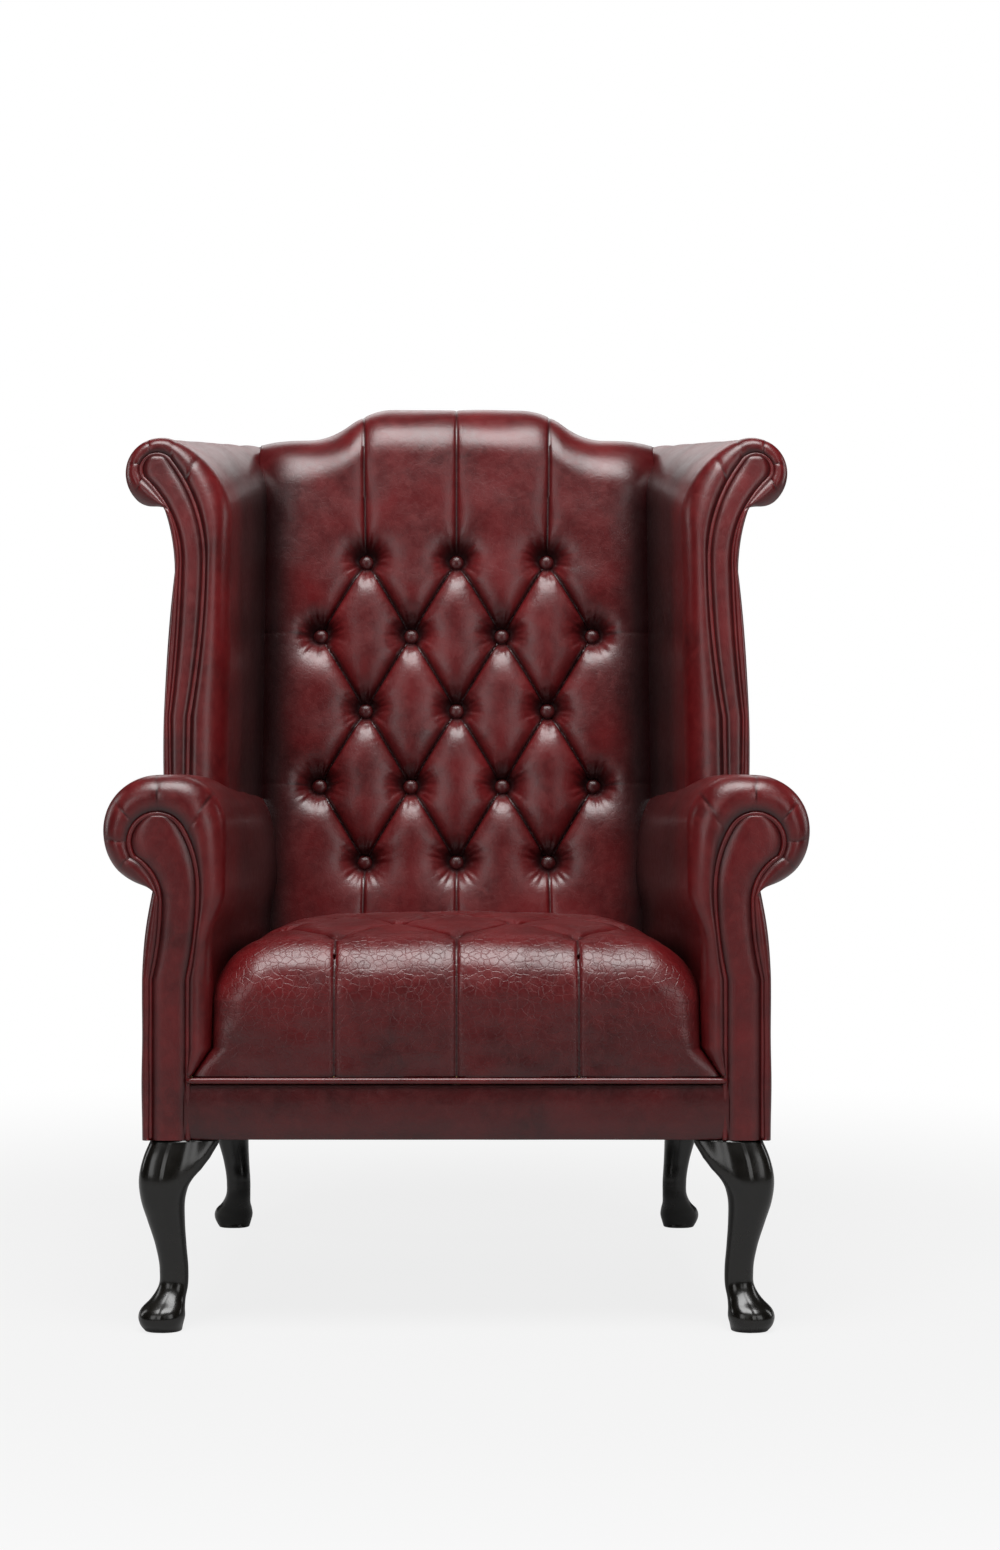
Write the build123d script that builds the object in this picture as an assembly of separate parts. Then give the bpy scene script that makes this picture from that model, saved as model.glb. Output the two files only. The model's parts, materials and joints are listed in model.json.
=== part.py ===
from build123d import *
import math
import os

# A deep-buttoned wingback armchair with scrolled arms and wings on cabriole legs.
# Millimetres. +X is the sitter's left hand side as seen from the front, the front
# faces -Y, +Z is up. The origin lies on the floor, under the middle of the chair.
# Everything is drawn for the +X side and mirrored where the chair has a pair.

# Whole chair
chair_height = 1138.0
chair_depth = 800.0
toe_overhang = 15.0            # front toes reach this far in front of the arm fronts
leg_height = 217.0
back_lean = 75.0               # how far the outside back leans over the frame's height
overrun = 60.0                 # spare length on tools that cut right through

# Seat
seat_width = 558.0             # between the arms, at the front
seat_width_back = 496.0        # between the arms, where the seat meets the back
seat_depth = 520.0             # from the arm fronts to the inside back
seat_edge_height = 441.0       # top of the seat where its front edge and the back meet it
seat_crown = 18.0              # the crown's rise over that edge
seat_shoulder = 52.0           # width over which the seat rolls down beside the arms
seat_shoulder_drop = 47.0
seat_nose = 62.0               # radius of the seat's front roll
seat_lobe_height = 33.0        # the lower front corners spread under the arms below this
seat_front_set = 4.0           # the seat front stands behind the arm fronts by this

# Inside back
back_rake = 9.5                # degrees
crest_flat = 88.0              # half length of the crest's level top
crest_drop = 43.0              # from the crest down to its shoulders
crest_run = 117.0              # length of the double curve from the flat to the shoulder
crest_turn_share = 0.5         # where along it the round turns into the hollow
crest_roll = 38.0              # radius of the roll over the crest

# Buttoning of the back
button_pitch = 123.0
button_row = 102.0
button_top_height = 924.0
button_rows = 5
wide_rows = range(1, button_rows, 2)   # rows of four buttons, counted from the top
pleat_depth = 20.0
pleat_spread = 46.0            # half width of the valley along a pleat
pleat_lift = 1.5               # the valley's sides run out this far above the surface
fold_depth = 10.0              # shallower folds that run out to the edges
fold_spread = 26.0
dimple_depth = 30.0
button_radius = 10.5
button_thickness = 7.0
button_edge = 3.0              # height of the button's straight rim
button_fit = 0.5
button_flats = 14
dimple_spread = 34.0           # radius of the dimple where it meets the back's surface
fold_fan = 10.0                # how far the outer top folds spread at the crest

# Tufts of the seat
tuft_pitch = 139.0
tuft_row = 110.0
tuft_rows = 4
tuft_set = 65.0                # first row's distance behind the arm fronts
seam_width = 3.0
seam_depth = 5.0

# Scrolled arms
arm_height = 628.0
arm_thickness = 76.0
arm_width_back = 335.0         # from the middle to the outside of the arm at the back
scroll_radius = 63.0
scroll_overhang = 47.0         # the scroll stands out from the arm's outside by this
neck_draw = 11.0               # the arm draws in by this under the scroll
post_shoulder = 398.0          # height where the arm's outside starts to draw in
arm_crown = 125.0              # height of the arm's rounded inner shoulder
post_width = 51.0              # front post with its covering
arm_nose = 7.0                 # rounding of the arm's front edge
shoulder_round_share = 0.62    # the shoulder's tight radius, as a share of its width

# Arm facing, framed by a welt
facing_recess = 6.0
facing_thickness = 5.0
welt = 6.0
welt_flats = 6
roll_width = 31.0              # padded roll around the facing's head
roll_rise = 12.0               # the facing's head lies this much below the scroll's middle
facing_waist = 13.5            # the roll's width inside the arm, where it is slimmest
facing_waist_height = 500.0
facing_neck_height = 485.0
facing_edge = 8.0              # width of the plain edge outside the facing
facing_lip_angle = 148.0       # degrees round the head, where its round ends
facing_hook_angle = -32.0      # degrees round the head, where its round starts

# Wings
wing_setback = 215.0           # from the arm fronts to the wing's front at arm height
wing_lean = 85.0               # how far the wing's front leans back up to its top
wing_top = 1053.0
wing_inner = 286.0             # from the middle to the wing's inner face at its front
wing_inner_back = 252.0
wing_belly = 355.5             # widest part of the wing's outside, low down
wing_waist = 346.0             # slimmest part of the wing's outside, high up
wing_waist_height = 880.0
wing_foot = 351.0
wing_outer_back = 318.0
wing_belly_back = 319.0
wing_waist_back = 314.0
wing_waist_height_back = 980.0
wing_scroll_radius = 45.0
wing_scroll_overhang = 65.0    # beyond the waist
wing_roll_back = 27.0          # radius of the wing's top roll at the back
wing_roll_overhang_back = 3.0
wing_top_back = 1096.0
wing_crown = 150.0
wing_crown_back = 70.0
wing_neck_step = 16.0
wing_neck_step_back = 1.0
wing_nose = 9.0                # rounding of the wing's front edge
wing_sink = 120.0              # the wing reaches this far down into the arm before trimming

# Wing facing
wing_head_radius = 20.0
wing_head_out = 6.0            # the head's middle lies this far outside the scroll's
wing_facing_waist = 311.0
wing_facing_waist_height = 890.0
wing_facing_low = 326.0
wing_facing_low_height = 700.0
wing_facing_edge = 5.0
wing_lip_angle = 135.0
wing_hook_angle = -34.0

# Frame timber
cover = 8.0                    # padding and hide over the frame
rail_thickness = 32.0
rail_height = 64.0
post_depth = 46.0
board_thickness = 18.0
board_margin = 11.0            # padding around the scroll boards
arm_rail_size = 38.0
back_post_width = 38.0
back_post_depth = 48.0
back_post_inner = 270.0
back_post_top = 1046.0
crest_rail_height = 74.0
crest_rail_thickness = 32.0
crest_padding = 14.0
arm_rail_drop = 45.0           # from the arm's top to the arm rail's top
bolt_set = 14.0                # from the post's front to the leg bolt
stay_rail_height = 46.0
stay_rail_base = 372.0
wing_rail_thickness = 24.0
wing_rail_height = 38.0
wing_rail_drop = 66.0          # from the wing's top to the wing rail's top
block_size = 70.0
block_height = 40.0

# Covers and bands
border_set = 2.0               # the front border lies this far behind the arm fronts
panel = 7.0                    # outside panels: board, wadding and hide
band_height = 63.0             # front band under the seat welt
dust_cover_thickness = 1.5
dust_cover_margin = 14.0
hessian_thickness = 1.5

# Springs
spring_count = 5
spring_waves = 8
spring_wire = 3.6
spring_span = 46.0             # width of a spring across its bends
spring_seat = 14.0             # how far the springs rest on the rails
clip_width = 20.0
clip_thickness = 1.5
clip_length = 12.0

# Back webbing
web_width = 50.0
web_thickness = 2.0
web_columns = 4
web_rows = 4
web_lap = 12.0                 # how far the ends lap onto the timber

# Cabriole legs
leg_block_set = 8.0            # from the arm's outside to the leg's block
leg_block_front = 3.0
knee_throw = 10.0
knee_width = 56.0
foot_width = 52.0
toe_side = 5.0                 # the toe stands out from the arm's outside by this
back_toe_overhang = 26.0       # rear toes reach this far behind the frame
back_toe_side = 2.0
ear_length = 28.0
ear_height = 70.0
ear_thickness = 30.0
bolt_radius = 5.0
bolt_sink = 34.0
screw_radius = 2.5
screw_length = 62.0
screw_bite = 20.0              # the screw's length in the rail
rod_flats = 10                 # flats round a hidden bolt or screw

# Up a leg: height as a share of the leg, width as a share of the foot or the knee, and
# how much of that part's outward throw applies.
foot_shares = [(0.0, 0.80, 0.86), (0.03, 0.92, 1.0), (0.07, 1.0, 1.0), (0.11, 0.94, 0.9),
               (0.155, 0.76, 0.5), (0.215, 0.645, 0.08)]
knee_shares = [(0.3, 0.58, 0.0), (0.43, 0.62, 0.3), (0.57, 0.75, 0.8), (0.68, 0.88, 1.12),
               (0.79, 1.0, 1.0), (0.9, 0.97, 0.62), (1.0, 0.89, 0.0)]
leg_corner_share = 0.36
corner_angles = (0, 30, 60, 90)    # degrees round a leg's corner where its flats meet
ear_bow_share = 0.08           # how far an ear's edge bows, as a share of its length

# Flats that each edge of a padded outline is cut into, in the order of the outline
arm_flats = (1, 3, 6, 6, 4, 4, 1, 1, 1)
wing_flats = (6, 3, 5, 5, 4, 4, 1)
facing_flats = (1, 4, 3, 9, 4, 3, 1)
crest_flats = (4, 4, 1, 1)
seat_flats = (3, 5, 1, 1)
seat_side_flats = (1, 5, 5, 1)
valley_flats = 4
roll_flats = 4
# The round nose of an arm or wing: how far it is drawn in, and how far it lies back,
# each as a share of the nose's radius.
nose_shares = [(1.0, 0.0), (0.5, 0.13), (0.13, 0.5), (0.0, 1.0)]
flat_touch = 0.001             # four points nearer to a plane than this are flat

# Planes and lines that several pieces share
front_y = toe_overhang - chair_depth / 2
rear_y = chair_depth / 2
seat_back_y = front_y + seat_depth
half_seat = seat_width / 2
arm_outer = half_seat + arm_thickness
out_slope = back_lean / (chair_height - leg_height)
in_slope = math.tan(math.radians(back_rake))
wing_slope = wing_lean / (wing_top - arm_height)
rail_top = leg_height + rail_height
band_top = leg_height + band_height
seat_base = band_top + welt
frame_rear_y = rear_y - back_lean
arm_inner_slope = (half_seat - seat_width_back / 2) / seat_depth
arm_outer_slope = (arm_outer - arm_width_back) / (frame_rear_y - front_y)
post_front_y = front_y + facing_recess + board_thickness
post_inner = arm_outer - post_width + cover / 2
post_outer = arm_outer - neck_draw - cover
arm_rail_top = arm_height - arm_rail_drop
timber_inset = panel + back_post_depth
sky = chair_height + overrun
wide = chair_depth


def outside_y(z, inset=0.0):
    """Depth of the outside back at a height, moved forward by an inset."""
    return rear_y - out_slope * (chair_height - z) - inset


def inside_y(z):
    """Depth of the inside back's surface at a height."""
    return seat_back_y + in_slope * (z - seat_edge_height)


def other_side(shape):
    return mirror(shape, about=Plane.YZ)


def block(x_range, y_range, z_range):
    """A rectangular block between two corners."""
    (x0, x1), (y0, y1), (z0, z1) = x_range, y_range, z_range
    return Pos(x0, y0, z0) * Box(x1 - x0, y1 - y0, z1 - z0, align=(Align.MIN,) * 3)


def cross_section(points, half_width):
    """A closed outline of (y, z) points, pulled sideways to both hands."""
    outline = Plane.YZ * make_face(Polyline(*points, close=True))
    return extrude(outline, amount=half_width, both=True)


def cut(shape, *tools):
    """The shape less every tool that is given."""
    for tool in tools:
        shape = shape - tool
    return shape


def front_plane(y):
    """The upright plane across the chair at a depth, facing the front."""
    return Plane.XZ.offset(-y)


def leaning_plane(y, slope):
    """A plane across the chair that passes a depth at arm height and leans back."""
    return Plane(origin=(0, y, arm_height), x_dir=(1, 0, 0), z_dir=(0, -1, slope))


def through(outline):
    """An outline on the front, pulled through the whole depth of the chair."""
    return extrude(front_plane(-wide) * outline, amount=-2 * wide)


def leaning_slab(inset_front, inset_back, half_width, z_range):
    """A slab parallel to the outside back, between two insets."""
    z0, z1 = z_range
    return cross_section([(outside_y(z0, inset_front), z0), (outside_y(z1, inset_front), z1),
                          (outside_y(z1, inset_back), z1), (outside_y(z0, inset_back), z0)],
                         half_width)


def behind(inset):
    """All the space behind an inset of the outside back."""
    return leaning_slab(inset, -wide, wide, (-overrun, sky))


def round_point(centre, radius, degrees):
    angle = math.radians(degrees)
    return centre[0] + radius * math.cos(angle), centre[1] + radius * math.sin(angle)


# Padded forms are drawn with arcs, and then cut into flats to keep them light
def corners(edges, flats):
    """The points along a run of edges, each of them cut into a number of flats."""
    points = [edges[0] @ 0]
    for edge, count in zip(edges, flats):
        forward = (edge @ 0 - points[-1]).length < (edge @ 1 - points[-1]).length
        for i in range(1, count + 1):
            points.append(edge @ (i / count if forward else 1 - i / count))
    return points


def inset(points, amount, closed=True):
    """The same run of points moved to its right by an amount, square to its sides."""
    moved = []
    last = len(points) - 1
    for i, point in enumerate(points):
        before = points[i - 1] if closed or i else point * 2 - points[1]
        after = points[(i + 1) % (last + 1)] if closed or i < last else point * 2 - points[i - 1]
        way_in, way_out = (point - before).normalized(), (after - point).normalized()
        middle = (way_in + way_out).normalized()
        to_right = Vector(middle.Y, -middle.X, 0)
        moved.append(point + to_right * (amount / middle.dot(way_in)))
    return moved


def polygon(points):
    return make_face(Polyline(*points, close=True))


def placed(plane, points, back=0.0):
    """Points drawn on a plane, as points of the chair, moved back from the plane."""
    return [plane.from_local_coords(Vector(point.X, point.Y, -back)) for point in points]


def skin(rings):
    """A solid through rings that have the same number of points."""
    faces = [polygon(rings[0]).face(), polygon(rings[-1]).face()]
    for low, high in zip(rings, rings[1:]):
        for i in range(len(low)):
            four = (low[i - 1], low[i], high[i], high[i - 1])
            across = (four[2] - four[0]).cross(four[1] - four[0]).normalized()
            if abs(across.dot(four[3] - four[0])) < flat_touch:
                faces.append(polygon(four).face())
            else:
                faces += [polygon(four[:3]).face(), polygon((four[0], *four[2:])).face()]
    return Solid(Shell(faces))


def scroll_edges(neck, centre, radius, inner, crown):
    """The scroll from its neck over the top, and the shoulder down to the inner face.
    The shoulder is a tight arc from the top, which runs into a wide one."""
    start = math.degrees(math.atan2(neck[1] - centre[1], neck[0] - centre[0]))
    top = centre[1] + radius
    width = centre[0] - inner
    tight = shoulder_round_share * width
    broad = (width ** 2 + crown ** 2 - 2 * crown * tight) / (2 * (width - tight))
    out = ((width - broad) / (broad - tight), (crown - tight) / (broad - tight))
    turn = (centre[0] + tight * out[0], top - tight + tight * out[1])
    return [
        ThreePointArc(neck, round_point(centre, radius, start / 2),
                      (centre[0] + radius, centre[1])),
        CenterArc(centre, radius, 0, 90),
        TangentArc((centre[0], top), turn, tangent=(-1, 0)),
        TangentArc((inner, top - crown), turn, tangent=(0, 1)),
    ]


# Scrolled arms
def arm_outline(inner, outer):
    """An arm seen from the front, as a closed ring of points, from the outside foot up."""
    centre = (outer + scroll_overhang - scroll_radius, arm_height - scroll_radius)
    neck_x = outer - neck_draw
    neck = (neck_x, centre[1] - math.sqrt(scroll_radius ** 2 - (neck_x - centre[0]) ** 2))
    post_x = outer - post_width
    lobe = (inner, seat_base + seat_lobe_height)
    return corners([
        Line((outer, leg_height), (outer, post_shoulder)),
        TangentArc((outer, post_shoulder), neck, tangent=(0, 1)),
        *scroll_edges(neck, centre, scroll_radius, inner, arm_crown),
        Line((inner, arm_height - arm_crown), lobe),
        Line(lobe, (post_x, seat_base)),
        Line((post_x, seat_base), (post_x, leg_height)),
    ], arm_flats)


def arm_form():
    """The outside of a whole arm, from its rounded front to the outside back."""
    reach = rear_y - front_y
    front = arm_outline(half_seat, arm_outer)
    back = arm_outline(half_seat - arm_inner_slope * reach, arm_outer - arm_outer_slope * reach)
    rings = [placed(front_plane(front_y), inset(front, -arm_nose * drawn), arm_nose * depth)
             for drawn, depth in nose_shares]
    return skin(rings + [placed(front_plane(rear_y), back)])


def along_arm(x_range, z_range, y_start):
    """A bar along the arm's outside, measured at the arm front."""
    (x0, x1), (z0, z1) = x_range, z_range
    shift = arm_outer_slope * (y_start - front_y)
    reach = rear_y - y_start
    section = front_plane(y_start) * make_face(Polyline(
        (x0 - shift, z0), (x1 - shift, z0), (x1 - shift, z1), (x0 - shift, z1), close=True))
    return Solid.extrude(section.face(), Vector(-arm_outer_slope * reach, reach, 0))


def arm_facing_outline():
    """The run of points round the arm's facing, from foot to foot, below the frame."""
    centre = (arm_outer + scroll_overhang - scroll_radius,
              arm_height - scroll_radius - roll_rise)
    head = scroll_radius - roll_width
    foot = leg_height - overrun
    lip = round_point(centre, head, facing_lip_angle)
    hook = round_point(centre, head, facing_hook_angle)
    waist = (half_seat + facing_waist, facing_waist_height)
    neck = (arm_outer - neck_draw - facing_edge, facing_neck_height)
    inner_post = (arm_outer - post_width, post_shoulder)
    outer_post = (arm_outer - facing_edge, post_shoulder)
    return corners([
        Line((outer_post[0], foot), outer_post),
        TangentArc(neck, outer_post, tangent=(0, -1)),
        TangentArc(neck, hook, tangent=(0, 1)),
        CenterArc(centre, head, facing_lip_angle, facing_hook_angle - facing_lip_angle),
        TangentArc(waist, lip, tangent=(0, 1)),
        TangentArc(waist, inner_post, tangent=(0, -1)),
        Line((inner_post[0], foot), inner_post),
    ], facing_flats)


# Wings
def wing_outline(stretch, inner, foot, belly, waist, waist_height, overhang, radius, top,
                 crown, neck_step):
    """A cut across the wing on a leaning plane, as a closed ring of points."""
    def level(z):
        return (z - arm_height) * stretch

    centre = (waist + overhang - radius, level(top) - radius)
    neck_x = waist + neck_step
    neck = (neck_x, centre[1] - math.sqrt(radius ** 2 - (neck_x - centre[0]) ** 2))
    base = -wing_sink
    waist_level = level(waist_height)
    return corners([
        ThreePointArc((foot, base), (belly, (base + waist_level) / 2), (waist, waist_level)),
        TangentArc((waist, waist_level), neck, tangent=(0, 1)),
        *scroll_edges(neck, centre, radius, inner, crown),
        Line((inner, centre[1] + radius - crown), (inner, base)),
    ], wing_flats)


wing_plane = leaning_plane(front_y + wing_setback, wing_slope)
wing_stretch = math.hypot(1, wing_slope)
back_stretch = math.hypot(1, out_slope)
wing_front = wing_outline(wing_stretch, wing_inner, wing_foot, wing_belly, wing_waist,
                          wing_waist_height, wing_scroll_overhang, wing_scroll_radius,
                          wing_top, wing_crown, wing_neck_step)
wing_back = wing_outline(back_stretch, wing_inner_back, wing_outer_back,
                         wing_belly_back, wing_waist_back,
                         wing_waist_height_back, wing_roll_overhang_back, wing_roll_back,
                         wing_top_back, wing_crown_back, wing_neck_step_back)


def wing_form():
    """The outside of a whole wing, from its rounded front to the outside back."""
    rear_plane = leaning_plane(outside_y(arm_height), out_slope)
    rings = [placed(wing_plane, inset(wing_front, -wing_nose * drawn), wing_nose * depth)
             for drawn, depth in nose_shares]
    return skin(rings + [placed(rear_plane, wing_back)])


def wing_facing_outline():
    """The run of points round the wing's facing, from foot to foot inside the arm."""
    def level(z):
        return (z - arm_height) * wing_stretch

    centre = (wing_waist + wing_scroll_overhang - wing_scroll_radius + wing_head_out,
              level(wing_top) - wing_scroll_radius)
    lip = round_point(centre, wing_head_radius, wing_lip_angle)
    hook = round_point(centre, wing_head_radius, wing_hook_angle)
    waist = (wing_facing_waist, level(wing_facing_waist_height))
    neck = (wing_waist - wing_facing_edge, level(wing_facing_waist_height))
    inner_low = (wing_facing_low, level(wing_facing_low_height))
    outer_low = (wing_belly - wing_facing_edge, level(wing_facing_low_height))
    return corners([
        Line((wing_foot - wing_facing_edge, -overrun), outer_low),
        TangentArc(neck, outer_low, tangent=(0, -1)),
        TangentArc(neck, hook, tangent=(0, 1)),
        CenterArc(centre, wing_head_radius, wing_lip_angle, wing_hook_angle - wing_lip_angle),
        TangentArc(waist, lip, tangent=(0, 1)),
        TangentArc(waist, inner_low, tangent=(0, -1)),
        Line((wing_facing_low, -overrun), inner_low),
    ], facing_flats)


# Facings and their welts
def facing_set(outline, plane):
    """The recess, the facing and the welt for a run of points from foot to foot."""
    recess = extrude(plane * polygon(outline), amount=-facing_recess)
    facing = extrude(plane.offset(-facing_recess) * polygon(inset(outline, -welt)),
                     amount=facing_thickness)
    runs = [round_point((welt / 2, facing_recess - welt / 2), welt / 2, i * 360 / welt_flats)
            for i in range(welt_flats)]
    lines = [placed(plane, inset(outline, -drawn, closed=False), depth) for drawn, depth in runs]
    return recess, facing, skin([list(ring) for ring in zip(*lines)])


arm_body = arm_form()
wing_body = cut(wing_form(), arm_body)
under_frame = block((-wide, wide), (-wide, wide), (-wide, leg_height))
arm_recess, arm_facing, arm_welt = facing_set(arm_facing_outline(), front_plane(front_y))
arm_facing = arm_facing - under_frame
arm_welt = arm_welt - under_frame
wing_recess, wing_facing, wing_welt = facing_set(wing_facing_outline(), wing_plane)
wing_facing = wing_facing - arm_body
wing_welt = wing_welt - arm_body


# Crest
def crest_outline(drop, half_width):
    """The ring of points round the back from the front, its top lowered by a drop."""
    top = chair_height - drop
    turn = (crest_flat + crest_turn_share * crest_run, top - crest_turn_share * crest_drop)
    shoulder = (crest_flat + crest_run, top - crest_drop)
    right = corners([
        TangentArc((crest_flat, top), turn, tangent=(1, 0)),
        TangentArc(shoulder, turn, tangent=(-1, 0)),
        Line(shoulder, (half_width, shoulder[1])),
        Line((half_width, shoulder[1]), (half_width, seat_base)),
    ], crest_flats)
    return right + [Vector(-point.X, point.Y, 0) for point in reversed(right)]


# Frame timber
def back_post():
    post = leaning_slab(timber_inset, panel, wide, (leg_height, back_post_top))
    return post & block((back_post_inner, back_post_inner + back_post_width),
                        (-wide, wide), (leg_height, back_post_top))


ahead_of_posts = behind(timber_inset)
arm_post = block((post_inner, post_outer), (post_front_y, post_front_y + post_depth),
                 (leg_height, arm_rail_top - arm_rail_size))
arm_board = extrude(
    front_plane(front_y + facing_recess) * polygon(
        inset(arm_outline(half_seat, arm_outer), -board_margin)),
    amount=-board_thickness)
arm_middle = arm_outer + scroll_overhang - scroll_radius
arm_rail = along_arm((arm_middle - arm_rail_size / 2, arm_middle + arm_rail_size / 2),
                     (arm_rail_top - arm_rail_size, arm_rail_top), post_front_y)
arm_rail = arm_rail - ahead_of_posts
side_rail = along_arm((arm_outer - cover - rail_thickness, arm_outer - cover),
                      (leg_height, rail_top), post_front_y + post_depth) - ahead_of_posts
front_rail = block((-post_inner, post_inner), (front_y + cover, front_y + cover + rail_thickness),
                   (leg_height, rail_top))
back_rail = leaning_slab(cover + rail_thickness, panel, back_post_inner, (leg_height, rail_top))
stay_rail = leaning_slab(timber_inset, timber_inset - crest_rail_thickness, back_post_inner,
                         (stay_rail_base, stay_rail_base + stay_rail_height))
crest_base = chair_height - crest_padding - crest_rail_height
crest_rail = through(polygon(crest_outline(crest_padding, back_post_inner))) & leaning_slab(
    timber_inset, timber_inset - crest_rail_thickness, wide, (crest_base, sky))
post_back = back_post()
wing_board = extrude(
    wing_plane.offset(-facing_recess) * polygon(inset(wing_front, -board_margin)),
    amount=-board_thickness) - block((-wide, wide), (-wide, wide), (-wide, arm_rail_top))


def wing_rail_form():
    """The rail from the wing's board back to the back post."""
    set_back = facing_recess + board_thickness
    level = wing_top - wing_rail_drop
    start_y = front_y + wing_setback + wing_slope * (level - arm_height) + set_back
    reach = outside_y(level, timber_inset) - start_y
    start_x = wing_waist - cover - wing_rail_thickness
    end_x = back_post_inner + back_post_width - wing_rail_thickness
    lean = (end_x - start_x) / reach
    x0 = start_x - lean * overrun
    x1 = x0 + wing_rail_thickness
    section = front_plane(start_y - overrun) * make_face(Polyline(
        (x0, level - wing_rail_height), (x1, level - wing_rail_height), (x1, level), (x0, level),
        close=True))
    bar = Solid.extrude(section.face(), Vector(lean * 2 * reach, 2 * reach, 0))
    in_front = wing_plane.offset(-set_back) * Pos(0, 0, wide / 2) * Box(wide, wide, wide)
    return cut(bar, in_front, ahead_of_posts)


wing_rail = wing_rail_form()


# Seat springs, their clips and their cover
spring_front_y = front_y + cover + rail_thickness - spring_seat
spring_rear_y = outside_y(rail_top, cover + rail_thickness) + spring_seat
spring_gap = 2 * post_inner / (spring_count + 1)
spring_places = [(i - (spring_count - 1) / 2) * spring_gap for i in range(spring_count)]
spring_top = rail_top + spring_wire
hessian_base = spring_top + clip_thickness
deck = hessian_base + hessian_thickness


def zigzag():
    """One serpentine spring, lying flat from the front rail to the back rail."""
    half_wave = (spring_rear_y - spring_front_y - spring_wire) / (2 * spring_waves)
    bars = Sketch()
    for i in range(2 * spring_waves + 1):
        bars += Pos(0, i * half_wave) * Rectangle(spring_span, spring_wire)
    for i in range(2 * spring_waves):
        side = (spring_span - spring_wire) / 2 * (1 if i % 2 else -1)
        bars += Pos(side, (i + 0.5) * half_wave) * Rectangle(spring_wire, half_wave)
    return extrude(Pos(0, spring_front_y + spring_wire / 2, rail_top) * bars, amount=spring_wire)


def clip(y):
    """A strap over a spring's end, with both its feet on the rail."""
    strap = block((-clip_width / 2, clip_width / 2), (y - clip_length / 2, y + clip_length / 2),
                  (rail_top, hessian_base))
    room = block((-clip_width, clip_width),
                 (y - clip_length / 2 + clip_thickness, y + clip_length / 2 - clip_thickness),
                 (rail_top, spring_top))
    return strap - room


one_spring = zigzag()
spring_ends = (spring_front_y + spring_wire / 2, spring_rear_y - spring_wire / 2)
springs = [Pos(x, 0, 0) * one_spring for x in spring_places]
clips = [Pos(x, 0, 0) * clip(y) for x in spring_places for y in spring_ends]
hessian = block((-post_inner, post_inner),
                (front_y + cover, outside_y(hessian_base, cover)),
                (hessian_base, deck))
hessian = cut(hessian, post_back, other_side(post_back))

# Webbing of the back, strips down first and strips across in front of them
web_low = stay_rail_base + stay_rail_height - web_lap
web_high = crest_base + web_lap
web_gap = 2 * back_post_inner / (web_columns + 1)
web_step = (web_high - web_low) / (web_rows + 1)
down_webs = [leaning_slab(timber_inset + web_thickness, timber_inset, web_width / 2,
                          (web_low, web_high)).moved(
                              Location(((i - (web_columns - 1) / 2) * web_gap, 0, 0)))
             for i in range(web_columns)]
across_webs = [leaning_slab(timber_inset + 2 * web_thickness, timber_inset + web_thickness,
                            back_post_inner + web_lap,
                            (web_low + (i + 1) * web_step - web_width / 2,
                             web_low + (i + 1) * web_step + web_width / 2))
               for i in range(web_rows)]


# Seat, crowned both ways, with a rolled front and sewn tufts
def seat_outline(half, lobe_half):
    """The ring of points round the seat from the front."""
    side_top = seat_edge_height - seat_shoulder_drop
    roll_x = half - seat_shoulder
    right = corners([
        TangentArc((0, seat_edge_height + seat_crown), (roll_x, seat_edge_height),
                   tangent=(1, 0)),
        EllipticalCenterArc((roll_x, side_top), seat_shoulder, seat_shoulder_drop, 0, arc_size=90),
        Line((half, side_top), (half, seat_base + seat_lobe_height)),
        Line((half, seat_base + seat_lobe_height), (lobe_half, seat_base)),
    ], seat_flats)
    return right[1:] + [Vector(-point.X, point.Y, 0) for point in reversed(right)]


def seat_form():
    reach = rear_y - front_y
    narrow = half_seat - arm_inner_slope * reach
    narrow_lobe = arm_outer - arm_outer_slope * reach - post_width
    bulk = skin([placed(front_plane(front_y), seat_outline(half_seat, arm_outer - post_width)),
                 placed(front_plane(rear_y), seat_outline(narrow, narrow_lobe))])
    y0 = front_y + seat_front_set
    nose_z = seat_edge_height - seat_nose
    back_top = (inside_y(seat_edge_height), seat_edge_height)
    side = corners([
        Line((y0, seat_base), (y0, nose_z)),
        TangentArc((y0, nose_z), (y0 + seat_nose, seat_edge_height), tangent=(0, 1)),
        ThreePointArc((y0 + seat_nose, seat_edge_height),
                      ((y0 + seat_nose + back_top[0]) / 2, seat_edge_height + seat_crown),
                      back_top),
        Line(back_top, (inside_y(seat_base), seat_base)),
    ], seat_side_flats)
    return bulk & extrude(Plane.YZ * polygon(side), amount=wide, both=True)


def seam(start, end):
    """A thin upright blade from one point in plan to another, through the seat."""
    run = math.dist(start, end)
    turn = math.degrees(math.atan2(end[1] - start[1], end[0] - start[0]))
    middle = ((start[0] + end[0]) / 2, (start[1] + end[1]) / 2)
    return Pos(middle[0], middle[1], seat_base + wide / 2) * Rot(0, 0, turn) * Box(
        run, seam_width, wide)


def tuft_columns(row):
    """Places of the tufts across one row of the seat."""
    if row % 2:
        return [-1.5 * tuft_pitch, -0.5 * tuft_pitch, 0.5 * tuft_pitch, 1.5 * tuft_pitch]
    return [-tuft_pitch, 0.0, tuft_pitch]


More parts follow.
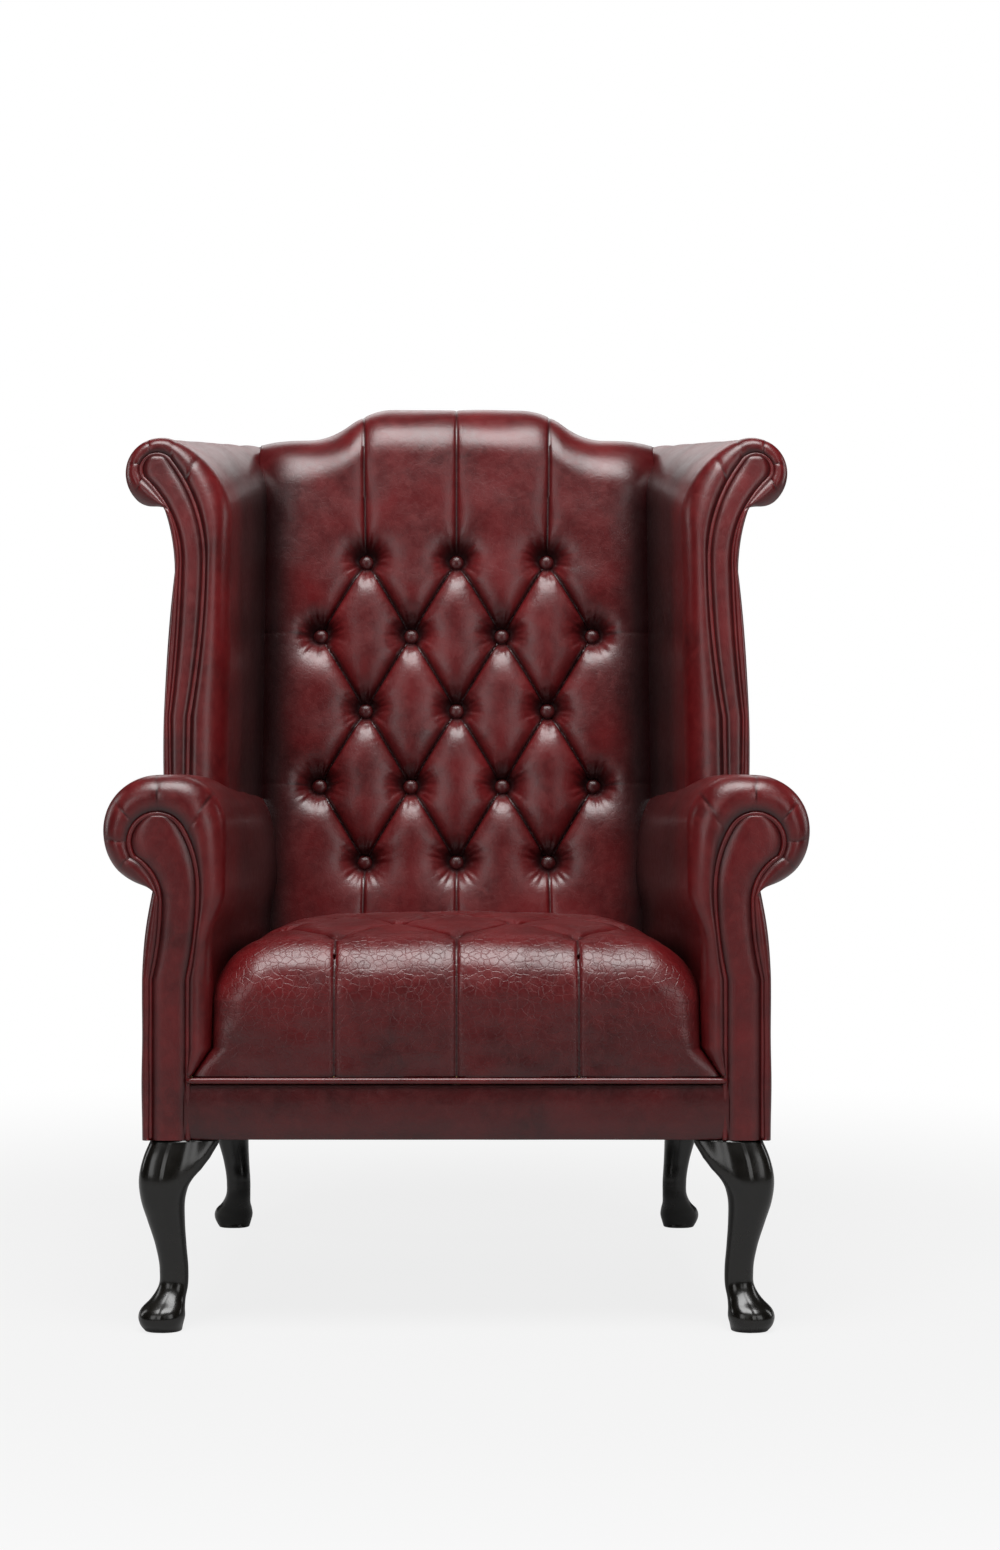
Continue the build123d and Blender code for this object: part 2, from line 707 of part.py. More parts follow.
def seat_seams():
    blades = []
    first_y = front_y + tuft_set
    for x in tuft_columns(0):
        blades.append(seam((x, first_y), (x, front_y - overrun)))
    for row in range(tuft_rows - 1):
        y0, y1 = first_y + row * tuft_row, first_y + (row + 1) * tuft_row
        for x in tuft_columns(row):
            for x_next in tuft_columns(row + 1):
                if abs(x_next - x) < tuft_pitch:
                    blades.append(seam((x, y0), (x_next, y1)))
    last_y = first_y + (tuft_rows - 1) * tuft_row
    for x in tuft_columns(tuft_rows - 1):
        blades.append(seam((x, last_y), (x, rear_y)))
    return blades


seat_body = cut(seat_form(), arm_body, other_side(arm_body))
seat_core = Pos(0, seam_depth, -seam_depth) * seat_body
seat_pad = cut(seat_body, *[blade - seat_core for blade in seat_seams()])

# Deep-buttoned inside back
button_middle = (seat_edge_height + button_top_height) / 2
back_plane = Plane(origin=(0, inside_y(button_middle), button_middle), x_dir=(1, 0, 0),
                   z_dir=(0, -1, in_slope))
in_stretch = math.hypot(1, in_slope)


def on_back(x, z):
    """A point of the inside back by its height, in the back's own plane."""
    return x, (z - button_middle) * in_stretch


def button_columns(row):
    if row % 2:
        return [-1.5 * button_pitch, -0.5 * button_pitch, 0.5 * button_pitch,
                1.5 * button_pitch]
    return [-button_pitch, 0.0, button_pitch]


def button_height(row):
    return button_top_height - row * button_row


def valley(spread, depth):
    """Half of a valley between two rounded cushions, with its open top."""
    top = (spread, pleat_lift)
    side = corners([TangentArc(top, (0, -depth), tangent=(-1, 0))], (valley_flats,))
    return polygon([*side, Vector(0, overrun), Vector(spread, overrun)])


def pleat(start, end, spread, depth):
    """A long valley from one point of the back to another."""
    run = math.dist(start, end)
    along = Vector(end[0] - start[0], end[1] - start[1], 0)
    across = Plane(origin=(start[0], start[1], 0), x_dir=Vector(0, 0, 1).cross(along),
                   z_dir=along)
    half = valley(spread, depth)
    whole = half + mirror(half, about=Plane.YZ)
    return back_plane * extrude(across * whole, amount=run)


def diagonal_pleats():
    """Every straight run of buttons, leaning one way and then the other."""
    runs = []
    for lean in (1, -1):
        starts = [(button_rows - 1, x) for x in button_columns(button_rows - 1)]
        starts += [(row, lean * button_columns(row)[0]) for row in wide_rows]
        for row, x in starts:
            steps = 0
            while (row - steps - 1 >= 0
                   and abs(x + lean * (steps + 1) * button_pitch / 2) < 2 * button_pitch):
                steps += 1
            if steps:
                end = (x + lean * steps * button_pitch / 2, button_height(row - steps))
                runs.append(pleat(on_back(x, button_height(row)), on_back(*end),
                                  pleat_spread, pleat_depth))
    return runs


def edge_folds():
    """Shallow folds from the outer buttons to the crest, the seat and the wings."""
    folds = []
    low = button_height(button_rows - 1)
    for x in button_columns(0):
        fan = fold_fan * x / button_pitch
        folds.append(pleat(on_back(x, button_top_height), on_back(x + fan, sky),
                           fold_spread, fold_depth))
        folds.append(pleat(on_back(x, low), on_back(x, seat_base), fold_spread, fold_depth))
    for row in wide_rows:
        for side in (1, -1):
            x = side * button_columns(row)[-1]
            folds.append(pleat(on_back(x, button_height(row)),
                               on_back(side * half_seat, button_height(row)),
                               fold_spread, fold_depth))
    return folds


def button_points():
    return [on_back(x, button_height(row)) for row in range(button_rows)
            for x in button_columns(row)]


def back_form():
    """The padded inside back with its roll over the crest, not yet buttoned."""
    half_width = back_post_inner + back_post_width / 2
    turns = [math.radians(90 * step / roll_flats) for step in range(roll_flats + 1)]
    cuts = [(crest_roll * (1 - math.sin(turn)), crest_roll * (1 - math.cos(turn)))
            for turn in turns]
    rings = [[Vector(point.X, inside_y(point.Y) + back, point.Y)
              for point in crest_outline(drop, half_width)]
             for drop, back in [*cuts, (0, chair_depth / 2)]]
    return cut(skin(rings), behind(panel), block((-wide, wide), (-wide, wide), (-wide, deck)))


back_body = back_form()
under_crest = through(polygon(crest_outline(crest_padding, wide))) & ahead_of_posts
back_body = cut(back_body, under_crest, wing_body, other_side(wing_body), arm_body,
                other_side(arm_body), *down_webs, *across_webs)


def round_ring(radius, height):
    """A ring of points about the Z axis, for a button or its dimple."""
    points = [round_point((0, 0), radius, i * 360 / button_flats) for i in range(button_flats)]
    return [Vector(x, y, height) for x, y in points]


dimple = skin([round_ring(button_radius + button_fit, -dimple_depth),
               round_ring(dimple_spread, pleat_lift), round_ring(dimple_spread, overrun)])
button = skin([round_ring(button_radius, 0), round_ring(button_radius, button_edge),
               round_ring(button_radius / 2, button_thickness)])
dimples = [back_plane * Pos(x, y, 0) * dimple for x, y in button_points()]
buttons = [back_plane * Pos(x, y, -dimple_depth) * button for x, y in button_points()]
back_pad = cut(back_body, *diagonal_pleats(), *edge_folds(), *dimples)


# Outside panels
def rear_face():
    """The outside back's outline, from its foot up around the crest."""
    foot = arm_width_back
    top_roll = wing_roll_back
    shoulder_z = chair_height - crest_drop
    turn = (crest_flat + crest_turn_share * crest_run,
            chair_height - crest_turn_share * crest_drop)
    right = make_face(Curve() + [
        Line((0, leg_height), (foot, leg_height)),
        Line((foot, leg_height), (foot, post_shoulder)),
        Line((foot, post_shoulder), (wing_outer_back, arm_height)),
        Line((wing_outer_back, arm_height), (wing_waist_back, shoulder_z - top_roll)),
        TangentArc((wing_waist_back, shoulder_z - top_roll),
                   (wing_waist_back - top_roll, shoulder_z), tangent=(0, 1)),
        Line((wing_waist_back - top_roll, shoulder_z), (crest_flat + crest_run, shoulder_z)),
        TangentArc((crest_flat + crest_run, shoulder_z), turn, tangent=(-1, 0)),
        TangentArc((crest_flat, chair_height), turn, tangent=(1, 0)),
        Line((crest_flat, chair_height), (0, chair_height)),
        Line((0, chair_height), (0, leg_height)),
    ])
    return right + mirror(right, about=Plane.YZ)


outside_back = through(rear_face()) & leaning_slab(panel, 0, wide, (0, sky))
panel_start = front_y + arm_nose + panel
arm_skin = along_arm((arm_outer - panel, arm_outer + panel),
                     (leg_height, post_shoulder + cover), panel_start)
behind_panel = behind(panel)
outside_arm = (arm_body & arm_skin) - behind_panel
wing_core = Pos(-panel, 0, 0) * wing_body
wing_skin_zone = block((0, wide), (-wide, wide),
                       (arm_height + panel, wing_waist_height)) - wing_plane.offset(
                           -wing_nose - panel) * Pos(0, 0, wide / 2) * Box(wide, 2 * wide, wide)
outside_wing = ((wing_body & wing_skin_zone) - wing_core) - behind_panel

# Cabriole legs
post_mid_back = back_post_inner + back_post_width / 2
leg_width = knee_width * knee_shares[-1][1]


def leg_sections(knee, foot):
    """The leg's cuts from the floor up, with their pull towards knee and foot."""
    cuts = []
    for height, width, pull in foot_shares:
        cuts.append((height, width * foot_width, foot[0] * pull, foot[1] * pull))
    for height, width, pull in knee_shares:
        cuts.append((height, width * knee_width, knee * pull, -knee * pull))
    return cuts


def carved_square(x, y, z, width):
    """A ring round a leg: a square whose corners are taken off in flats."""
    radius = width * leg_corner_share
    arm = width / 2 - radius
    points = [round_point((x + arm * side_x, y + arm * side_y), radius, quarter * 90 + angle)
              for quarter, (side_x, side_y) in enumerate([(1, 1), (-1, 1), (-1, -1), (1, -1)])
              for angle in corner_angles]
    return [Vector(px, py, z) for px, py in points]


def leg_shaft(foot):
    """A cabriole leg, standing about the origin, with its toe to +X and -Y."""
    return skin([carved_square(x, y, height * leg_height, width)
                 for height, width, x, y in leg_sections(knee_throw, foot)])


def ear():
    """A bracket beside the knee, that fills the corner under the rail."""
    start = (-leg_width / 2 - ear_length, leg_height)
    end = (0, leg_height - ear_height)
    middle = ((start[0] + end[0]) / 2, (start[1] + end[1]) / 2)
    bow = ear_bow_share * math.dist(start, end)
    outline = make_face(Curve() + [
        ThreePointArc(start, (middle[0] - bow, middle[1] - bow), end),
        Line(end, (0, leg_height)), Line((0, leg_height), start)])
    return extrude(Plane.XZ * outline, amount=ear_thickness / 2, both=True)


def cabriole(toe_x, toe_y):
    """A whole leg about its block's middle, for given reaches of the toe."""
    foot = (toe_x - foot_width / 2, foot_width / 2 - toe_y)
    side_ear = mirror(Rot(0, 0, 90) * ear(), about=Plane.XZ)
    return leg_shaft(foot) + ear() + side_ear


def rod(radius, length):
    """A bolt's or screw's shank about the origin, along Z."""
    return extrude(RegularPolygon(radius, rod_flats), amount=length / 2, both=True)


def bolt_hole(x, y):
    return Pos(x, y, leg_height) * rod(bolt_radius, 2 * bolt_sink)


front_leg_x = arm_outer - leg_block_set - leg_width / 2
front_leg_y = front_y + leg_block_front + leg_width / 2
front_bolt = bolt_hole((post_inner + post_outer) / 2, post_front_y + bolt_set)
front_leg = Pos(front_leg_x, front_leg_y, 0) * cabriole(
    arm_outer + toe_side - front_leg_x, front_leg_y - front_y + toe_overhang)
front_leg = front_leg - front_bolt
back_leg_x = arm_width_back - leg_block_set - leg_width / 2
back_leg_y = frame_rear_y - leg_block_front - leg_width / 2
back_bolt = bolt_hole(post_mid_back, outside_y(leg_height, panel + back_post_depth / 2))
back_leg = Pos(back_leg_x, back_leg_y, 0) * mirror(cabriole(
    arm_width_back + back_toe_side - back_leg_x,
    frame_rear_y + back_toe_overhang - back_leg_y), about=Plane.XZ)
back_leg = back_leg - back_bolt

# Corner blocks inside the seat frame, each held by two screws
front_corner_y = front_y + cover + rail_thickness
rear_corner_y = outside_y(rail_top, cover + rail_thickness)


def corner_block(x, y, turn):
    """A triangular block whose square corner sits in the frame's corner."""
    base = make_face(Polyline((0, 0), (-block_size, 0), (0, turn * block_size), close=True))
    return extrude(Pos(x, y, rail_top - block_height) * base, amount=block_height)


def block_screw(x, y, turn):
    """A screw from the block's slanting face into the rail."""
    middle = y + turn * (screw_length / 2 - screw_bite)
    return Pos(x - block_size / 3, middle, rail_top - block_height / 2) * Rot(
        90, 0, 0) * rod(screw_radius, screw_length)


front_screw = block_screw(post_inner, front_corner_y, 1)
rear_screw = block_screw(back_post_inner, rear_corner_y, -1)
front_block = corner_block(post_inner, front_corner_y, 1) - front_screw
rear_block = cut(corner_block(back_post_inner, rear_corner_y, -1), back_rail, rear_screw)
front_rail = cut(front_rail, front_screw, other_side(front_screw))
back_rail = cut(back_rail, rear_screw, other_side(rear_screw))
arm_post = arm_post - front_bolt
post_back = post_back - back_bolt

# Coverings, with room for the timber and the springs inside them
side_timber = [arm_post, arm_board, arm_rail, side_rail, post_back, wing_board, wing_rail]
middle_timber = [front_rail, back_rail, stay_rail, crest_rail]
wing_skin = cut(outside_wing, *side_timber)
arm_skin_panel = cut(outside_arm, *side_timber)
arm_pad = cut(arm_body, behind_panel, arm_recess, arm_skin, front_bolt, back_bolt, hessian,
              front_block, *side_timber, *middle_timber, *across_webs)
wing_pad = cut(wing_body, behind_panel, wing_recess, outside_wing, *side_timber,
               *middle_timber, *across_webs)
seat_pad = cut(seat_pad, hessian, *clips)
back_pad = cut(back_pad, *middle_timber)
front_border = block((post_width - arm_outer, arm_outer - post_width),
                     (front_y + border_set, front_y + cover), (leg_height, band_top))
front_border = cut(front_border, arm_body, other_side(arm_body))
seat_welt = Pos(0, front_y + welt / 2, band_top + welt / 2) * Rot(0, 90, 0) * extrude(
    RegularPolygon(welt / 2, welt_flats), amount=arm_outer - post_width, both=True)
seat_welt = cut(seat_welt, arm_body, other_side(arm_body))
dust_front = arm_outer - dust_cover_margin
dust_back = arm_width_back - dust_cover_margin
dust_y = (front_y + dust_cover_margin, frame_rear_y - dust_cover_margin)
dust_cover = extrude(Pos(0, 0, leg_height) * make_face(Polyline(
    (-dust_front, dust_y[0]), (dust_front, dust_y[0]), (dust_back, dust_y[1]),
    (-dust_back, dust_y[1]), close=True)), amount=-dust_cover_thickness)
front_notch = block((front_leg_x - leg_width / 2, wide), (-wide, front_leg_y + leg_width / 2),
                    (-wide, wide))
back_notch = block((back_leg_x - leg_width / 2, wide), (back_leg_y - leg_width / 2, wide),
                   (-wide, wide))
for tool in (front_notch, back_notch, front_leg, back_leg):
    dust_cover = cut(dust_cover, tool, other_side(tool))

# Every piece by its name. The sitter's left hand is on the +X side.
pieces = {
    "front_seat_rail": [front_rail],
    "back_seat_rail": [back_rail],
    "back_stay_rail": [stay_rail],
    "crest_rail": [crest_rail],
    "seat_springs": springs,
    "spring_clips": clips,
    "spring_cover": [hessian],
    "back_webbing": [*down_webs, *across_webs],
    "seat_pad": [seat_pad],
    "back_pad": [back_pad],
    "back_buttons": buttons,
    "outside_back": [outside_back],
    "front_border": [front_border],
    "seat_welt": [seat_welt],
    "dust_cover": [dust_cover],
    "leg_bolts": [front_bolt, back_bolt, other_side(front_bolt), other_side(back_bolt)],
    "block_screws": [front_screw, rear_screw, other_side(front_screw), other_side(rear_screw)],
}
pairs = {
    "side_seat_rail": side_rail,
    "corner_block_front": front_block,
    "corner_block_back": rear_block,
    "arm_post": arm_post,
    "arm_scroll_board": arm_board,
    "arm_rail": arm_rail,
    "back_post": post_back,
    "wing_board": wing_board,
    "wing_rail": wing_rail,
    "arm_pad": arm_pad,
    "wing_pad": wing_pad,
    "outside_arm": arm_skin_panel,
    "outside_wing": wing_skin,
    "arm_facing": arm_facing,
    "wing_facing": wing_facing,
    "arm_welt": arm_welt,
    "wing_welt": wing_welt,
    "front_leg": front_leg,
    "back_leg": back_leg,
}
for name, shape in pairs.items():
    pieces[name + "_left"] = [shape]
    pieces[name + "_right"] = [other_side(shape)]

os.makedirs("parts", exist_ok=True)
for name, shapes in pieces.items():
    solids = [solid for shape in shapes for solid in shape.solids()]
    export_step(solids[0] if len(solids) == 1 else Compound(solids), "parts/" + name + ".step")
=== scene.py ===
import bpy
import functools
import json
import math
import numpy as np
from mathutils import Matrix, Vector


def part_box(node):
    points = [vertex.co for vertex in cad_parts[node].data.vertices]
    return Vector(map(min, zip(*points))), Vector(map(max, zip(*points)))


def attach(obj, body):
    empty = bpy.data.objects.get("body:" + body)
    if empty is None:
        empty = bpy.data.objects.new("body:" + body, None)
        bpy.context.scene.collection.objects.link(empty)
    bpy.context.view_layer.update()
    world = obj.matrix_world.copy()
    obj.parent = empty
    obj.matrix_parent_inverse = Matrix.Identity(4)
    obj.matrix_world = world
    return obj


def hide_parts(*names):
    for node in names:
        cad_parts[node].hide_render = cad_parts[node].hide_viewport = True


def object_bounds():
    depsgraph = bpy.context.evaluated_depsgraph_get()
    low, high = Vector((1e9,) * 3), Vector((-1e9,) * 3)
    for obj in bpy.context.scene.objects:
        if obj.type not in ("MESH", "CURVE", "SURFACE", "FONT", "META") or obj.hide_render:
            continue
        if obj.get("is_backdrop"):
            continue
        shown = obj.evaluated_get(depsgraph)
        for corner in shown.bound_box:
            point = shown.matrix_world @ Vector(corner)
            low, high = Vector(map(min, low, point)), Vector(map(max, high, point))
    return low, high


bl_info = {
    "name": "Deep-buttoned wingback chair",
    "version": (1, 0, 0),
    "blender": (4, 5, 0),
    "location": "View3D > Sidebar > Wingback",
    "description": "Dresses a deep-buttoned leather wingback chair around its frame",
    "category": "Object",
}

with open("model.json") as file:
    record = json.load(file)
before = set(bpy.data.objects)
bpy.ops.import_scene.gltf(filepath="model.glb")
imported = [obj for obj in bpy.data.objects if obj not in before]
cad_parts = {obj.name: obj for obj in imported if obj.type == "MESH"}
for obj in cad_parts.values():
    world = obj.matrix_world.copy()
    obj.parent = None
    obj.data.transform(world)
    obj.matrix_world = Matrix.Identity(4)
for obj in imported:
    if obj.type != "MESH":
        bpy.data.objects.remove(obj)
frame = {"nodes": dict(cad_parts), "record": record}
cad_low, cad_high = (Vector(corner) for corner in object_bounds())

# Lengths are in metres. +X is the sitter's left, the chair faces -Y, +Z is up.
MM = 0.001

# Heights and planes, most of them read from the frame
LEG_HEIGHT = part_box("front_leg_left")[1][2]
CHAIR_HEIGHT = cad_high[2]
FRONT_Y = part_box("arm_pad_left")[0][1]
REAR_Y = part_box("outside_back")[1][1]
SEAT_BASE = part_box("seat_pad")[0][2]
ARM_HEIGHT = 0.628
ARM_FOOT = LEG_HEIGHT - 0.0012

# Arms, as seen from the front
HALF_SEAT = 0.279
ARM_OUTER = 0.355
ARM_INNER_SLOPE = 0.0596
ARM_OUTER_SLOPE = 0.0282
ARM_FULL = 0.016
ARM_FULL_BEND = 0.058
SCROLL_RADIUS = 0.063
SCROLL_X = 0.339
POST_SHOULDER = 0.398
POST_INNER = 0.304
NECK_DRAW = 0.011
ARM_CROWN = 0.125
LOBE_HEIGHT = 0.319
SHOULDER_ROUND_SHARE = 0.62

# Wings, on planes that lean back
WING_FRONT_Y = FRONT_Y + 0.215
WING_SLOPE = 0.2
WING_TOP = 1.053
WING_SINK = 0.060
WING_WAIST = 0.346
WING_OVERHANG = 0.065
WING_SCROLL = 0.045
BACK_SLOPE = 75 / 921

# The facings, the welts round them and the rolls round those
HEAD_RADIUS = 0.032
HEAD_DROP = 0.012
WING_HEAD_RADIUS = 0.020
FACING_EDGE = 0.008
FACING_SINK = 0.0075
WELT_SINK = 0.0050
WELT_RADIUS = 0.0030
SEAT_WELT_RADIUS = 0.0034
ROLL_CREST = 0.42
INNER_CREST_DRAW = 0.20
ROLL_RUN, BODY_RUN = 0.035, 0.6

# Inside back
BACK_RAKE = math.tan(math.radians(9.5))
SEAT_EDGE = 0.441
SEAT_BACK_Y = FRONT_Y + 0.520
CREST_FLAT = 0.088
CREST_RUN = 0.117
CREST_DROP = 0.043
CREST_ROLL = 0.085
BACK_FLAT_ROWS = 285
BUTTON_PITCH = 0.123
BUTTON_ROW = 0.102
BUTTON_TOP = 0.924
BUTTON_ROWS = 5

# Creases in the hide: half widths of their dark lines of coat and painted shade, and of the tucks
# along them, where a tuck starts off a button and how soon it is full, and the rings round a
# button
PLEAT_LINE, FOLD_LINE, LEVEL_FOLD_LINE = 0.0024, 0.0018, 0.0028
PLEAT_TUCK, FOLD_TUCK = 0.0016, 0.0015
TUCK_START, TUCK_RISE = 0.006, 0.010
BUTTON_RIM, SHADE_RIM, PUCKER_RING, RING_WIDTH = 0.008, 0.010, 0.020, 0.012

# How close a sum of hollows keeps to the deepest of them
BLEND = 3.0


# Small geometry helpers
def linear(hex_colour):
    """An sRGB hex colour as the linear colour that a shader takes."""
    parts = [int(hex_colour[i:i + 2], 16) / 255 for i in (1, 3, 5)]
    return tuple(c / 12.92 if c <= 0.04045 else ((c + 0.055) / 1.055) ** 2.4
                 for c in parts) + (1.0,)


def line(start, end, count):
    """Points along a straight line."""
    share = np.linspace(0, 1, count)[:, None]
    return np.array(start) * (1 - share) + np.array(end) * share


def bearing(centre, point):
    """The angle, in radians, at which a point lies from a centre."""
    return math.atan2(point[1] - centre[1], point[0] - centre[0])


def arc(centre, radius, start, end, count):
    """Points round a centre, from one angle in degrees to another."""
    angle = np.radians(np.linspace(start, end, count))
    return np.stack([centre[0] + radius * np.cos(angle),
                     centre[1] + radius * np.sin(angle)], axis=1)


def on_circle(centre, radius, angle):
    """The point of a circle at an angle in degrees."""
    return arc(centre, radius, angle, angle, 1)[0]


def leaving_arc(start, end, tangent, count):
    """The arc from start to end that leaves start along a tangent."""
    start, end = np.array(start, float), np.array(end, float)
    tangent = np.array(tangent, float) / np.linalg.norm(tangent)
    normal = np.array([-tangent[1], tangent[0]])
    chord = end - start
    sideways = chord @ normal
    if abs(sideways) < 1e-9:
        return line(start, end, count)
    radius = chord @ chord / (2 * sideways)
    centre = start + normal * radius
    first = bearing(centre, start)
    turn = (bearing(centre, end) - first) % (2 * math.pi)
    if radius < 0:
        turn -= 2 * math.pi
    angle = first + np.linspace(0, 1, count) * turn
    return centre + abs(radius) * np.stack([np.cos(angle), np.sin(angle)], axis=1)


def through_arc(start, middle, end, count):
    """The arc through three points."""
    a, b, c = (np.array(p, float) for p in (start, middle, end))
    d = 2 * (a[0] * (b[1] - c[1]) + b[0] * (c[1] - a[1]) + c[0] * (a[1] - b[1]))
    ux = ((a @ a) * (b[1] - c[1]) + (b @ b) * (c[1] - a[1]) + (c @ c) * (a[1] - b[1])) / d
    uy = ((a @ a) * (c[0] - b[0]) + (b @ b) * (a[0] - c[0]) + (c @ c) * (b[0] - a[0])) / d
    centre = np.array([ux, uy])
    angles = np.unwrap([bearing(centre, p) for p in (a, b, c)])
    return arc(centre, np.linalg.norm(a - centre), math.degrees(angles[0]),
               math.degrees(angles[2]), count)


def joined(*runs):
    """Runs of points end to end, without the doubled points between them."""
    return np.concatenate([runs[0]] + [run[1:] for run in runs[1:]])


def travelled(points):
    """How far along a run each of its points lies."""
    steps = np.linalg.norm(np.diff(points, axis=0), axis=1)
    return np.concatenate([[0], np.cumsum(steps)])


def even(points, count):
    """The same run, with its points spread evenly along it."""
    along = travelled(points)
    where = np.linspace(0, along[-1], count)
    return np.stack([np.interp(where, along, points[:, k])
                     for k in range(points.shape[1])], axis=1)


def smooth_run(xs, ys, where):
    """A smooth curve through the given values."""
    xs, ys = np.array(xs), np.array(ys)
    slopes = np.gradient(ys, xs)
    index = np.clip(np.searchsorted(xs, where) - 1, 0, len(xs) - 2)
    gap = xs[index + 1] - xs[index]
    t = (where - xs[index]) / gap
    return ((2 * t ** 3 - 3 * t ** 2 + 1) * ys[index]
            + (t ** 3 - 2 * t ** 2 + t) * gap * slopes[index]
            + (-2 * t ** 3 + 3 * t ** 2) * ys[index + 1]
            + (t ** 3 - t ** 2) * gap * slopes[index + 1])


def smooth_step(x):
    """A soft rise from 0 to 1."""
    x = np.clip(x, 0, 1)
    return x * x * (3 - 2 * x)


def bell(x, width):
    """A soft peak of 1 where x is 0."""
    return np.exp(-(x / width) ** 2)


def waves(x, y, seed, count=7, length=0.12):
    """A gentle unevenness from a few crossed waves, between about -1 and 1."""
    chance = np.random.default_rng(seed)
    total = 0
    for _ in range(count):
        angle = chance.uniform(0, math.pi)
        pitch = length * chance.uniform(0.6, 1.6)
        phase = chance.uniform(0, 2 * math.pi)
        total = total + np.sin((x * math.cos(angle) + y * math.sin(angle))
                               * 2 * math.pi / pitch + phase)
    return total / count


def grid_of(x, y, z):
    """Points from coordinates that fill out to one shape."""
    return np.stack(np.broadcast_arrays(x, y, z), axis=-1)


def grid_normals(points):
    """A unit normal for each point of a grid of points."""
    along = np.gradient(points, axis=0)
    across = np.gradient(points, axis=1)
    normal = np.cross(across, along)
    return normal / np.maximum(np.linalg.norm(normal, axis=2, keepdims=True), 1e-12)


def grid_faces(rows, columns, wrap=False):
    """The faces of a grid of points, which may close round on itself."""
    index = np.arange(rows * columns).reshape(rows, columns)
    if wrap:
        index = np.concatenate([index, index[:, :1]], axis=1)
    quads = np.stack([index[:-1, :-1], index[:-1, 1:], index[1:, 1:], index[1:, :-1]], axis=-1)
    return quads.reshape(-1, 4).tolist()


def ring_faces(rows, columns):
    """The faces of a grid that closes round on itself, with one more over each end."""
    last = (rows - 1) * columns
    return grid_faces(rows, columns, wrap=True) + [list(range(columns))[::-1],
                                                   list(range(last, last + columns))]


def rim(rows, columns):
    """The indices round the edge of a grid, in order."""
    index = np.arange(rows * columns).reshape(rows, columns)
    return [*index[0, :], *index[1:, -1], *index[-1, -2::-1], *index[-2:0:-1, 0]]


def closed_skin(points, carry):
    """A skin whose rim is carried over to another surface and closed there: its points, its
    faces and how many points were added."""
    edge = rim(*points.shape[:2])
    skin = points.reshape(-1, 3)
    carried = carry(skin[edge])
    first, count = len(skin), len(edge)
    faces = grid_faces(*points.shape[:2])
    for i in range(count):
        after = (i + 1) % count
        faces.append([edge[i], first + i, first + after, edge[after]])
    faces.append([first + i for i in range(count)])
    return np.concatenate([skin, carried]), faces, count


def make_mesh(name, points, faces, material, coat_and_shade=None, wear=None):
    """A smooth-shaded object, with each point's dark coat and painted shade, and its wear if
    given.
    """
    mesh = bpy.data.meshes.new(name)
    mesh.from_pydata(np.asarray(points).reshape(-1, 3).tolist(), [], faces)
    for key, values in (("coat_and_shade", coat_and_shade), ("wear", wear)):
        if values is not None:
            layer = mesh.attributes.new(key, "FLOAT", "POINT")
            layer.data.foreach_set("value", np.ascontiguousarray(values, np.float32).ravel())
    mesh.validate()
    mesh.shade_smooth()
    mesh.materials.append(material)
    obj = bpy.data.objects.new(name, mesh)
    bpy.context.scene.collection.objects.link(obj)
    return obj


def mirrored(obj, name):
    """The same piece for the chair's other side."""
    twin = obj.copy()
    twin.data = obj.data.copy()
    twin.name = name
    twin.data.name = name
    for vertex in twin.data.vertices:
        vertex.co.x = -vertex.co.x
    twin.data.flip_normals()
    bpy.context.scene.collection.objects.link(twin)
    return twin


def welt_piping(name, points, radius):
    """A round cord in hide, through a run of points that faces the front."""
    sides = 12
    ahead = np.gradient(points, axis=0)
    ahead /= np.linalg.norm(ahead, axis=1, keepdims=True)
    side = np.cross(ahead, np.broadcast_to((0, -1, 0), ahead.shape))
    side /= np.linalg.norm(side, axis=1, keepdims=True)
    up = np.cross(side, ahead)
    angle = np.linspace(0, 2 * math.pi, sides, endpoint=False)
    rings = (points[:, None] + radius * (np.cos(angle)[None, :, None] * side[:, None]
                                         + np.sin(angle)[None, :, None] * up[:, None]))
    return make_mesh(name, rings, ring_faces(len(points), sides), leather())


# Planes that outlines are drawn on
class Drawing:
    """A plane across the chair that passes a depth at a height and leans back."""

    def __init__(self, y, z=0.0, slope=0.0):
        stretch = math.hypot(1, slope)
        self.origin = np.array([0, y, z])
        self.across = np.array([1.0, 0, 0])
        self.up = np.array([0, slope, 1.0]) / stretch
        self.out = np.array([0, -1.0, slope]) / stretch

    def at(self, flat, back=0.0):
        """Points drawn on the plane, as points of the chair, moved back from the plane."""
        flat = np.asarray(flat)
        back = np.asarray(back)[..., None]
        return (self.origin + flat[..., :1] * self.across + flat[..., 1:2] * self.up
                - back * self.out)


def outside_y(z):
    """The depth of the outside back, which leans, at a height."""
    return REAR_Y - BACK_SLOPE * (CHAIR_HEIGHT - z)


def inside_y(z):
    """The depth of the inside back at a height."""
    return SEAT_BACK_Y + BACK_RAKE * (z - SEAT_EDGE)


ARM_PLANE = Drawing(FRONT_Y)
WING_PLANE = Drawing(WING_FRONT_Y, ARM_HEIGHT, WING_SLOPE)
WING_REAR_PLANE = Drawing(outside_y(ARM_HEIGHT), ARM_HEIGHT, BACK_SLOPE)
WING_STRETCH = math.hypot(1, WING_SLOPE)
REAR_STRETCH = math.hypot(1, BACK_SLOPE)


